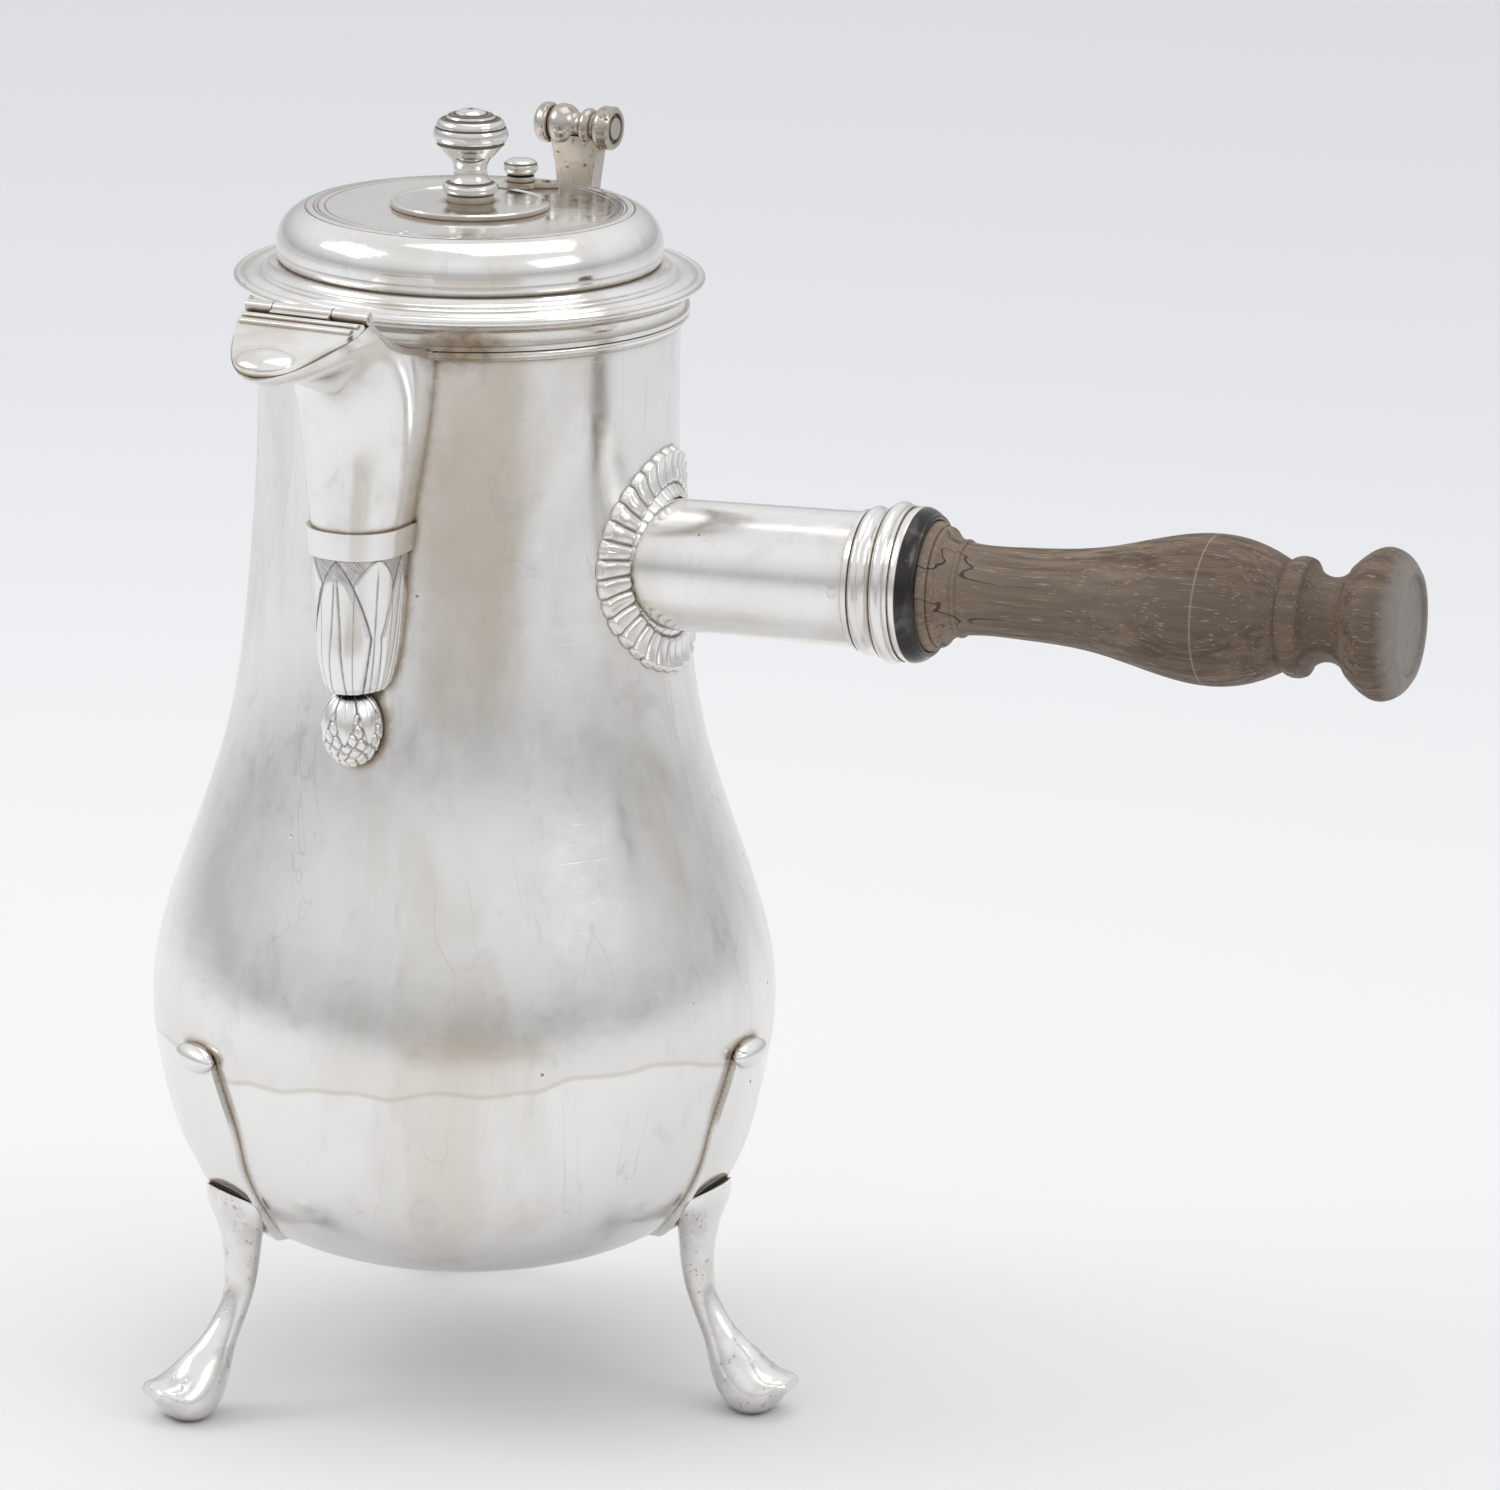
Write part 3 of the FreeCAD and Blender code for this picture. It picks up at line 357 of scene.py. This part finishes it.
def old_wood():
    """Dry grey-brown hardwood, its grain along the handle: pores, streaks, cracks and a turned line.
    Places along the handle are measured from its root."""
    p = Paint("old_wood")
    u = HANDLE_DIRECTION
    v = Vector((0, 0, 1)).cross(u).normalized()
    w = u.cross(v)
    from_root = p.from_point(HANDLE_ORIGIN)
    along, side, up = (p.dot(from_root, d) for d in (u, v, w))
    wobble = p.noise(p.scaled(from_root, (40.0, 60.0, 60.0)), 1.0, 2.0)
    grain = p.place(p.times(along, 24.0),
                    p.maths("ADD", p.times(side, GRAIN_ACROSS), p.times(wobble, 2.2)),
                    p.times(up, GRAIN_ACROSS))
    streak = p.noise(grain, 1.0, 5.0, 0.62, 0.3)
    broad = p.noise(p.scaled(grain, (0.5, 0.16, 0.16)), 1.0, 3.0, 0.5)
    pore = p.ramp(p.noise(p.scaled(grain, (5.0, 4.2, 4.2)), 1.0, 2.0, 0.5), 0.60, 0.70)
    colour = p.mix(p.ramp(streak, 0.30, 0.70), GRAIN_DARK, GRAIN_LIGHT)
    colour = p.mix(p.ramp(broad, 0.40, 0.66, 0.0, 0.75), colour, GRAIN_BROAD)
    colour = p.mix(p.ramp(along, 86 * MM, 62 * MM, 0.0, 0.38), colour, WORN_BY_SOCKET)
    colour = p.mix(p.ramp(along, 98 * MM, 118 * MM, 0.0, 0.42), colour, HANDLED_BULB)
    colour = p.mix(p.times(pore, 0.55), colour, PORE_DUST)
    # long cracks that run in from the socket, and a few beyond
    crack_place = p.place(p.times(along, 16.0),
                          p.maths("ADD", p.times(side, CRACKS_ACROSS), p.times(wobble, 1.6)),
                          p.times(up, CRACKS_ACROSS))
    crack_line = p.ramp(p.distance(p.noise(crack_place, 1.0, 2.5, 0.5), 0.5), 0.012, 0.002)
    near_socket = p.ramp(along, 100 * MM, 64 * MM, 0.18, 1.0)
    patches = p.ramp(p.noise(p.scaled(from_root, (50.0, 90.0, 90.0)), 1.0, 1.0), 0.46, 0.60)
    crack = p.times(p.times(crack_line, near_socket), patches)
    colour = p.mix(p.times(crack, 0.85), colour, CRACK_DARK)
    # bleached end of the knob and a fine pale line turned round the bulb
    colour = p.mix(p.times(p.ramp(along, 156 * MM, 160 * MM), 0.62), colour, BLEACHED)
    line = p.ramp(p.distance(along, TURNED_LINE_AT), 0.28 * MM, 0.12 * MM)
    colour = p.mix(p.times(line, 0.45), colour, TURNED_LINE)
    colour = p.mix(p.ramp(p.hollow(3.5 * MM), 0.62, 0.25, 0.0, 0.75), colour, HOLLOW_DARK)
    normal = p.bump(streak, 0.10 * MM, 0.8)
    normal = p.bump(p.times(pore, -1.0), 0.06 * MM, 0.8, normal)
    normal = p.bump(p.times(crack, -1.0), 0.35 * MM, 1.0, normal)
    p.put(p.shader.inputs["Base Color"], colour)
    p.put(p.shader.inputs["Roughness"], p.ramp(streak, 0.3, 0.7, 0.62, 0.50))
    p.put(p.shader.inputs["Normal"], normal)
    p.shader.inputs["Specular IOR Level"].default_value = 0.35
    return p.material


# ---------------------------------------------------------------- meshes

def make_piece(name, points, faces, body, material, nodes=()):
    mesh = bpy.data.meshes.new(name)
    mesh.from_pydata([tuple(q) for q in points], [], faces)
    mesh.validate()
    for polygon in mesh.polygons:
        polygon.use_smooth = True
    mesh.materials.append(material)
    piece = bpy.data.objects.new(name, mesh)
    bpy.context.scene.collection.objects.link(piece)
    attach(piece, body)
    if nodes:
        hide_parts(*nodes)
    return piece


def surface_of(node):
    data = NODES[node].data
    return BVHTree.FromPolygons([v.co[:] for v in data.vertices], [p.vertices[:] for p in data.polygons])


def grid_faces(rows, columns, closed, start=0, flip=False):
    faces = []
    for r in range(rows - 1):
        for c in range(columns if closed else columns - 1):
            after = (c + 1) % columns
            quad = [start + r * columns + c, start + r * columns + after,
                    start + (r + 1) * columns + after, start + (r + 1) * columns + c]
            faces.append(quad[::-1] if flip else quad)
    return faces


def double_skin(rows, columns, closed):
    """Faces of an outer grid, an inner grid after it, and the strips that join their edges."""
    count = rows * columns
    faces = grid_faces(rows, columns, closed) + grid_faces(rows, columns, closed, count, True)
    last = columns if closed else columns - 1
    for c in range(last):
        after = (c + 1) % columns
        faces.append([after, c, count + c, count + after])
        low = (rows - 1) * columns
        faces.append([low + c, low + after, count + low + after, count + low + c])
    if not closed:
        for r in range(rows - 1):
            a, b = r * columns, (r + 1) * columns
            faces.append([a, b, count + b, count + a])
            a, b = a + columns - 1, b + columns - 1
            faces.append([b, a, count + a, count + b])
    return faces


def set_tarnish(piece, values):
    layer = piece.data.attributes.new("tarnish", "FLOAT", "POINT")
    layer.data.foreach_set("value", np.asarray(values, np.float32))


def smooth(edge0, edge1, x):
    t = min(max((x - edge0) / (edge1 - edge0), 0.0), 1.0)
    return t * t * (3 - 2 * t)


def line_dip(distance, width):
    return math.exp(-(distance / width) ** 2)


# ---------------------------------------------------------------- leaves under the spout

LEAF_ROWS, LEAF_COLUMNS = 190, 230
LEAF_WIDEST_AT = 0.42
FRONT_LEAF_TIP, BACK_LEAF_TIP = 0.975, 0.99
FRONT_LEAVES = ((-0.80, 0.31), (0.0, 0.36), (0.80, 0.31))
BACK_LEAVES = (-0.40, 0.40)
BACK_LEAF_HALF_WIDTH = 0.235
STIPPLED_FROM, STIPPLED_FULLY = 0.80, 0.86
MOUNT_SKIN = 1.0 * MM
MOUNT_TURN = math.pi / 2 * 1.06


def leaf_half_width(v, widest, tip):
    """Half width of a front leaf at v up the mount: blunt below, drawn in to its tip above."""
    if v >= tip:
        return 0.0
    if v > LEAF_WIDEST_AT:
        return widest * min(1.0, ((tip - v) / (tip - LEAF_WIDEST_AT)) ** 0.72)
    return widest * (0.84 + 0.16 * v / LEAF_WIDEST_AT)


def stippled_ground(u, v):
    grain = math.sin(u * 211 + v * 17) * math.sin(v * 163 - u * 31)
    stipple = smooth(STIPPLED_FROM, STIPPLED_FULLY, v)
    return -0.15 + 0.07 * grain * stipple, stipple * (0.30 + 0.30 * (grain < 0))


def back_leaf(across, v, height, dark):
    half_width = BACK_LEAF_HALF_WIDTH * min(1.0, max(0.0, (BACK_LEAF_TIP - v) / 0.17)) ** 0.6
    inside = half_width - abs(across)
    if inside <= 0:
        return height, dark
    height = 0.22 * smooth(0.0, 0.035, inside) - 0.12 * line_dip(across, 0.014)
    dark = 0.75 * line_dip(across, 0.010) * smooth(0.98, 0.80, v) + 0.9 * line_dip(inside, 0.010)
    return height, dark


def front_leaf(across, v, widest, height, dark):
    """A raised leaf with two chased lines beside its middle rib."""
    inside = leaf_half_width(v, widest, FRONT_LEAF_TIP) - abs(across)
    if inside > -0.02:
        dark = max(dark, 0.95 * line_dip(inside, 0.013))
    if inside <= 0:
        return height, dark
    height = 0.55 * smooth(0.0, 0.07, inside) + 0.12 * smooth(0.05, 0.3, inside)
    rib = 0.012 + 0.075 * max(0.0, 1.0 - v / 0.86)
    fade = smooth(0.92, 0.80, v)
    for side in (-1, 1):
        gap = across - side * rib
        height -= 0.20 * line_dip(gap, 0.013) * fade
        dark = max(dark, 0.80 * line_dip(gap, 0.0085) * fade)
    if abs(across) < rib:
        height += 0.07
    return height, max(dark, 0.95 * line_dip(inside, 0.011))


def leaf_relief(u, v):
    """Relief height in millimetres and tarnish at u across (-1 to 1) and v up (0 to 1) the mount."""
    height, dark = stippled_ground(u, v)
    for centre in BACK_LEAVES:
        height, dark = back_leaf(u - centre, v, height, dark)
    for centre, widest in FRONT_LEAVES:
        height, dark = front_leaf(u - centre, v, widest, height, dark)
    return height - 0.35 * smooth(0.05, 0.0, v), dark


def leaf_mount():
    """A relief skin laid on the plain mount, which is found by rays cast inwards from in front of it."""
    skin, body = surface_of("spout_leaf_mount"), surface_of("body_shell")
    low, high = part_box("spout_leaf_mount")
    edge = 0.06 * MM
    outer, inner, dark = [], [], []
    for r in range(LEAF_ROWS):
        v = 1.0 - r / (LEAF_ROWS - 1)
        z = low.z + (high.z - low.z) * v
        sample_z = min(max(z, low.z + edge), high.z - edge)
        # the body's back wall gives its radius, because the pouring slot opens the front wall here
        back_wall = body.ray_cast(Vector((AXIS.x, AXIS.y + 0.1, sample_z)), Vector((0, -1, 0)))[0]
        centre = Vector((AXIS.x, 2 * AXIS.y - back_wall.y - 0.4 * MM, z))
        sample_centre = Vector((centre.x, centre.y, sample_z))
        for c in range(LEAF_COLUMNS):
            u = -1.0 + 2.0 * c / (LEAF_COLUMNS - 1)
            turn = min(max(u * MOUNT_TURN, -math.pi / 2), math.pi / 2)
            tuck = Vector((0, max(0.0, abs(u) - 0.9) * 30 * MM, 0))
            out = Vector((math.sin(turn), -math.cos(turn), 0))
            hit = skin.ray_cast(sample_centre + out * RAY_START, -out)[0]
            reach = (hit - sample_centre).length if hit else 5 * MM
            height, tarnish = leaf_relief(u, v)
            outer.append(centre + out * (reach + height * MM) + tuck)
            inner.append(centre + out * (reach - MOUNT_SKIN) + tuck)
            dark.append(tarnish)
    piece = make_piece("leaf_mount", outer + inner, double_skin(LEAF_ROWS, LEAF_COLUMNS, False), "pot",
                       MATERIALS["ornament_silver"], ["spout_leaf_mount"])
    set_tarnish(piece, dark + dark)


# ---------------------------------------------------------------- berry

BERRY_ROWS, BERRY_COLUMNS = 150, 260
BERRY_RADIUS = 6.3 * MM
BERRY_STRETCH = 1.3
SCALE_COUNT = 110
PETALS = 7


def spread_over_ball(count):
    """Points spread evenly over a ball of radius 1, by the golden angle."""
    golden = math.pi * (3 - math.sqrt(5))
    points = []
    for i in range(count):
        z = 1 - 2 * (i + 0.5) / count
        ring = math.sqrt(1 - z * z)
        points.append((ring * math.cos(golden * i), ring * math.sin(golden * i), z))
    return np.array(points)


def berry_relief(out, turn, scales):
    """Relief height in millimetres and tarnish in the direction out: petals above, scales below."""
    nearest = np.sort(np.linalg.norm(scales - out, axis=1))[:2]
    edge = nearest[1] - nearest[0]
    scale_height = 0.45 * smooth(0.0, 0.16, edge) - 0.45
    scale_dark = 0.9 * line_dip(edge, 0.030)
    across = (turn * PETALS / (2 * math.pi)) % 1.0 - 0.5
    petal_end = 0.10 - 0.42 * math.cos(2 * math.pi * across)
    on_petal = smooth(petal_end - 0.02, petal_end + 0.05, out[2])
    from_side = abs(abs(across) - 0.5)
    petal_height = -0.42 * line_dip(from_side, 0.045)
    petal_height -= 0.10 * line_dip(across, 0.05) * smooth(0.2, 0.7, out[2])
    middle_line = 0.45 * line_dip(across, 0.016) * smooth(0.25, 0.6, out[2])
    petal_dark = max(0.9 * line_dip(from_side, 0.022), middle_line)
    height = scale_height * (1 - on_petal) + petal_height * on_petal
    dark = max(scale_dark * (1 - on_petal), petal_dark * on_petal, 0.9 * line_dip(out[2] - petal_end, 0.03))
    return height, dark


def berry():
    low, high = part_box("spout_berry")
    centre = Vector((AXIS.x, low.y + BERRY_RADIUS, low.z + BERRY_RADIUS * BERRY_STRETCH))
    scales = spread_over_ball(SCALE_COUNT)
    points, dark = [], []
    for r in range(BERRY_ROWS):
        polar = math.pi * r / (BERRY_ROWS - 1)
        for c in range(BERRY_COLUMNS):
            turn = 2 * math.pi * c / BERRY_COLUMNS
            ring = math.sin(polar)
            out = np.array((ring * math.cos(turn), ring * math.sin(turn), math.cos(polar)))
            height, tarnish = berry_relief(out, turn, scales)
            size = BERRY_RADIUS + height * MM
            point = centre + Vector((out[0] * size, out[1] * size, out[2] * size * BERRY_STRETCH))
            point.z = min(point.z, high.z)
            points.append(point)
            dark.append(tarnish)
    faces = grid_faces(BERRY_ROWS, BERRY_COLUMNS, True, 0, True)
    piece = make_piece("berry", points, faces, "pot", MATERIALS["ornament_silver"],
                       ["spout_berry"])
    set_tarnish(piece, dark)


# ---------------------------------------------------------------- fluted rosette

FLUTES = 34
ROSETTE_RINGS, ROSETTE_COLUMNS = 56, FLUTES * 16
# radii in millimetres: at the socket, where the flutes begin, and at the scalloped edge
ROSETTE_INNER, ROSETTE_STEP, ROSETTE_OUTER = 13.2, 16.0, 23.7
ROSETTE_SEED = 7
ROSETTE_SUNK = 0.35 * MM


def flute_relief(radius, rim, t, across, flute):
    """Lift off the body in millimetres, and tarnish, across (-0.5 to 0.5) a flute at t from root to rim."""
    from_side = abs(abs(across) - 0.5)
    groove = line_dip(from_side, 0.10)
    step = 0.55 * line_dip(radius - ROSETTE_STEP, 0.32)
    step_dark = 0.85 * line_dip(radius - ROSETTE_STEP, 0.16)
    if radius < ROSETTE_STEP:
        curl = smooth(ROSETTE_STEP, ROSETTE_INNER, radius)
        return 1.05 + 1.5 * curl - 0.22 * groove - step, max(0.6 * line_dip(from_side, 0.05), step_dark)
    edge = smooth(1.0, 0.90, t)
    lobe = lobe_of(across)
    dish = 1.35 - 0.45 * math.sin(math.pi * smooth(ROSETTE_STEP, rim, radius))
    centre_line = 0.16 * line_dip(across, 0.06) * smooth(0.35, 0.8, t) * (flute % 3 == 0)
    height = (0.25 + dish * (0.30 + 0.70 * lobe)) * edge - 0.35 * groove * edge - centre_line
    return height - step, max(0.95 * line_dip(from_side, 0.045), step_dark, 0.9 * smooth(0.965, 1.0, t))


def lobe_of(across):
    return math.sqrt(max(0.0, 1 - (2 * across) ** 2 * 0.96))


def rosette():
    """Flutes laid on the body round the handle's root, each a little different in length."""
    body = surface_of("body_shell")
    u = HANDLE_DIRECTION
    v = Vector((0, 0, 1)).cross(u).normalized()
    w = u.cross(v)
    outer, inner, dark = [], [], []
    length_change = np.random.default_rng(ROSETTE_SEED).uniform(-1, 1, FLUTES)
    for r in range(ROSETTE_RINGS):
        t = r / (ROSETTE_RINGS - 1)
        for c in range(ROSETTE_COLUMNS):
            turn = 2 * math.pi * c / ROSETTE_COLUMNS
            place = turn * FLUTES / (2 * math.pi)
            flute = int(place) % FLUTES
            across = place % 1.0 - 0.5
            rim = ROSETTE_OUTER - 0.9 + 0.8 * lobe_of(across) + 0.25 * length_change[flute]
            rim = min(rim, ROSETTE_OUTER)
            radius = ROSETTE_INNER + (rim - ROSETTE_INNER) * t
            out = v * math.cos(turn) + w * math.sin(turn)
            start = HANDLE_ORIGIN + out * radius * MM + u * RAY_START
            foot, normal = body.ray_cast(start, -u)[:2]
            if foot is None:
                foot, normal = start - u * RAY_START, u
            if normal.dot(u) < 0:
                normal = -normal
            height, tarnish = flute_relief(radius, rim, t, across, flute)
            lift = (normal * 0.6 + u * 0.4).normalized()
            outer.append(foot + lift * height * MM)
            inner.append(foot - normal * ROSETTE_SUNK)
            dark.append(tarnish)
    piece = make_piece("rosette", outer + inner, double_skin(ROSETTE_RINGS, ROSETTE_COLUMNS, True), "pot",
                       MATERIALS["ornament_silver"], ["handle_rosette"])
    set_tarnish(piece, dark + dark)


# ---------------------------------------------------------------- materials on the CAD nodes

MATERIALS = {
    "body_silver": silver("body_silver", film_and_reflection=0.62, roughness=0.19, wave=0.05, scratch=1.4, recess=1.4,
                          reach=3.0, tide=0.9, smudge=0.45),
    "spout_silver": silver("spout_silver", film_and_reflection=0.80, roughness=0.16, wave=0.055, scratch=1.2, recess=1.4,
                           reach=1.9, tide=0.8),
    "cover_silver": silver("cover_silver", film_and_reflection=0.45, roughness=0.11, wave=0.03, scratch=1.2, recess=0.75,
                           reach=1.6, tide=0.45, circles=(29.9, 31.4, 32.2, 33.9)),
    "moulding_silver": silver("moulding_silver", film_and_reflection=0.70, roughness=0.15, wave=0.02, reach=2.4, smudge=0.95),
    "socket_silver": silver("socket_silver", film_and_reflection=0.45, roughness=0.16, wave=0.03, scratch=1.5, recess=1.2,
                            reach=2.2, tide=0.5),
    "finial_silver": silver("finial_silver", film_and_reflection=0.60, roughness=0.13, wave=0.01, recess=1.35, reach=2.6,
                            bright=(0.72, 0.70, 0.67), grooves=(252.65, 255.05, 263.1, 266.5, 268.3, 269.1)),
    "ornament_silver": silver("ornament_silver", film_and_reflection=0.45, roughness=0.20, wave=0.02, recess=0.75, reach=0.9,
                              relief=True),
    "plate_silver": silver("plate_silver", film_and_reflection=0.40, roughness=0.18, wave=0.03, recess=1.1, reach=2.0,
                           beads=0.16),
    "cast_silver": silver("cast_silver", film_and_reflection=0.50, roughness=0.18, wave=0.04, recess=0.50, reach=1.8,
                          pits=0.45),
    "thumb_silver": silver("thumb_silver", film_and_reflection=1.0, roughness=0.21, wave=0.05, recess=1.25, reach=3.2,
                           pits=1.0, bright=(0.42, 0.40, 0.37)),
    "pin_silver": silver("pin_silver", film_and_reflection=0.60, roughness=0.30, wave=0.0, reach=1.0),
    "tarnished_silver": silver("tarnished_silver", film_and_reflection=0.40, wave=0.01, reach=1.2, black_from=56.6),
    "wood": old_wood(),
}


def finish_node(node, slot):
    data = NODES[node].data
    for index in range(len(data.materials)):
        data.materials[index] = MATERIALS[slot]
    if not data.materials:
        data.materials.append(MATERIALS[slot])


for subpart in frame["record"]["subparts"]:
    finish_node(subpart["node"], subpart["material_slot"])

leaf_mount()
berry()
rosette()

# ---------------------------------------------------------------- floor, light, camera

FLOOR_SIZE = 14.0
# the last paper tone is painted light: the paper is painted brighter near the pot
PAPER_COOL, PAPER_PALE, PAPER_PAINTED_LIGHT_BY_POT = (0.735, 0.741, 0.760), (0.755, 0.760, 0.775), (0.815, 0.815, 0.822)
BARE_TABLE = (0.58, 0.54, 0.49)
# level directions from the pot towards the viewer, and square to it
TOWARDS_VIEWER, BESIDE_VIEWER = (0.453, -0.891, 0.0), (0.891, 0.453, 0.0)


def floor():
    """Pale paper, painted lighter round the pot as a painted pool of light that lifts the shadow under it; it
    ends in a warmer, duller stretch of table in front of the pot.
    """
    p = Paint("floor_paper")
    paper = p.mix(p.noise(p.position, 0.8, 2.0), PAPER_COOL, PAPER_PALE)
    # painted light: the paper is painted brighter towards the pot, to lift the shadow under it
    paper = p.mix(p.ramp(p.length(p.from_point(AXIS)), 1.1, 0.12), paper, PAPER_PAINTED_LIGHT_BY_POT)
    towards = p.dot(p.position, TOWARDS_VIEWER)
    beside = p.maths("ABSOLUTE", p.dot(p.position, BESIDE_VIEWER))
    spread = p.maths("DIVIDE", beside, p.larger(towards, 0.05))
    bare = p.times(p.ramp(towards, 0.40, 0.60), p.ramp(spread, 0.62, 0.42))
    p.put(p.shader.inputs["Base Color"], p.mix(p.times(bare, 0.9), paper, BARE_TABLE))
    p.shader.inputs["Roughness"].default_value = 0.75
    p.shader.inputs["Specular IOR Level"].default_value = 0.2
    half = FLOOR_SIZE / 2
    corners = [(-half, -half, 0), (half, -half, 0), (half, half, 0), (-half, half, 0)]
    mesh = bpy.data.meshes.new("floor")
    mesh.from_pydata(corners, [], [(0, 1, 2, 3)])
    mesh.materials.append(p.material)
    sheet = bpy.data.objects.new("floor", mesh)
    bpy.context.scene.collection.objects.link(sheet)


# brightness of the room from straight below (0) over the level (0.5) to straight above (1)
ROOM_STOPS = ((0.0, 0.72), (0.499, 0.74), (0.503, 0.55), (0.56, 0.60), (0.66, 0.84), (0.82, 1.0), (1.0, 0.92))
ROOM_TINT = (0.985, 0.99, 1.0)
ROOM_STRENGTH = 0.95


def sky():
    """A pale room: bright overhead, a little darker just above the level of the table."""
    world = bpy.data.worlds.new("room")
    world.use_nodes = True
    nodes, links = world.node_tree.nodes, world.node_tree.links
    background = nodes["Background"]
    direction = nodes.new("ShaderNodeTexCoord").outputs["Generated"]
    split = nodes.new("ShaderNodeSeparateXYZ")
    links.new(direction, split.inputs[0])
    upward = nodes.new("ShaderNodeMath")
    upward.operation = "MULTIPLY_ADD"
    upward.inputs[1].default_value = 0.5
    upward.inputs[2].default_value = 0.5
    links.new(split.outputs["Z"], upward.inputs[0])
    ramp = nodes.new("ShaderNodeValToRGB")
    links.new(upward.outputs[0], ramp.inputs[0])
    while len(ramp.color_ramp.elements) < len(ROOM_STOPS):
        ramp.color_ramp.elements.new(0.5)
    for element, (where, value) in zip(ramp.color_ramp.elements, ROOM_STOPS):
        element.position = where
        element.color = (*(value * tint for tint in ROOM_TINT), 1.0)
    links.new(ramp.outputs[0], background.inputs[0])
    background.inputs[1].default_value = ROOM_STRENGTH
    bpy.context.scene.world = world


LIGHTS_AIM = 130 * MM


def soft_box(name, azimuth, elevation, distance, width, height, power):
    """A rectangular soft light aimed at the middle of the pot."""
    data = bpy.data.lights.new(name, "AREA")
    data.shape = "RECTANGLE"
    data.size, data.size_y = width, height
    data.energy = power
    lamp = bpy.data.objects.new(name, data)
    a, e = math.radians(azimuth), math.radians(elevation)
    target = AXIS + Vector((0, 0, LIGHTS_AIM))
    out = Vector((math.cos(a) * math.cos(e), math.sin(a) * math.cos(e), math.sin(e)))
    lamp.location = target + out * distance
    lamp.rotation_euler = (target - lamp.location).to_track_quat("-Z", "Y").to_euler()
    bpy.context.scene.collection.objects.link(lamp)


# The camera looks at the pot from its own right front, measured from the pot's axis on the table.
CAMERA_FROM_AXIS = Vector((0.81502, -1.60492, 0.610945))
CAMERA_AZIMUTH = 0.4369933
CAMERA_PITCH = 0.2580034
CAMERA_ROLL = 0.0152672
CAMERA_LENS = 213.8135


def camera():
    a, pitch, roll = CAMERA_AZIMUTH, CAMERA_PITCH, CAMERA_ROLL
    ahead = Vector((-math.sin(a) * math.cos(pitch), math.cos(a) * math.cos(pitch), -math.sin(pitch)))
    level = Vector((math.cos(a), math.sin(a), 0))
    rise = level.cross(ahead)
    right = level * math.cos(roll) + rise * math.sin(roll)
    up = rise * math.cos(roll) - level * math.sin(roll)
    data = bpy.data.cameras.new("camera")
    data.sensor_width = 36.0
    data.lens = CAMERA_LENS
    data.clip_end = 50.0
    seen_from = bpy.data.objects.new("camera", data)
    turn = Matrix((right, up, -ahead)).transposed()
    seen_from.matrix_world = Matrix.Translation(AXIS + CAMERA_FROM_AXIS) @ turn.to_4x4()
    bpy.context.scene.collection.objects.link(seen_from)
    bpy.context.scene.camera = seen_from


floor()
sky()
soft_box("key", azimuth=205.0, elevation=42.0, distance=1.7, width=0.9, height=0.7, power=6.0)
soft_box("fill", azimuth=-5.0, elevation=35.0, distance=1.9, width=0.8, height=0.6, power=3.0)
soft_box("top", azimuth=60.0, elevation=78.0, distance=1.6, width=1.2, height=1.2, power=4.5)
camera()
bpy.context.scene.view_settings.view_transform = "Standard"
bpy.context.scene.view_settings.look = "None"
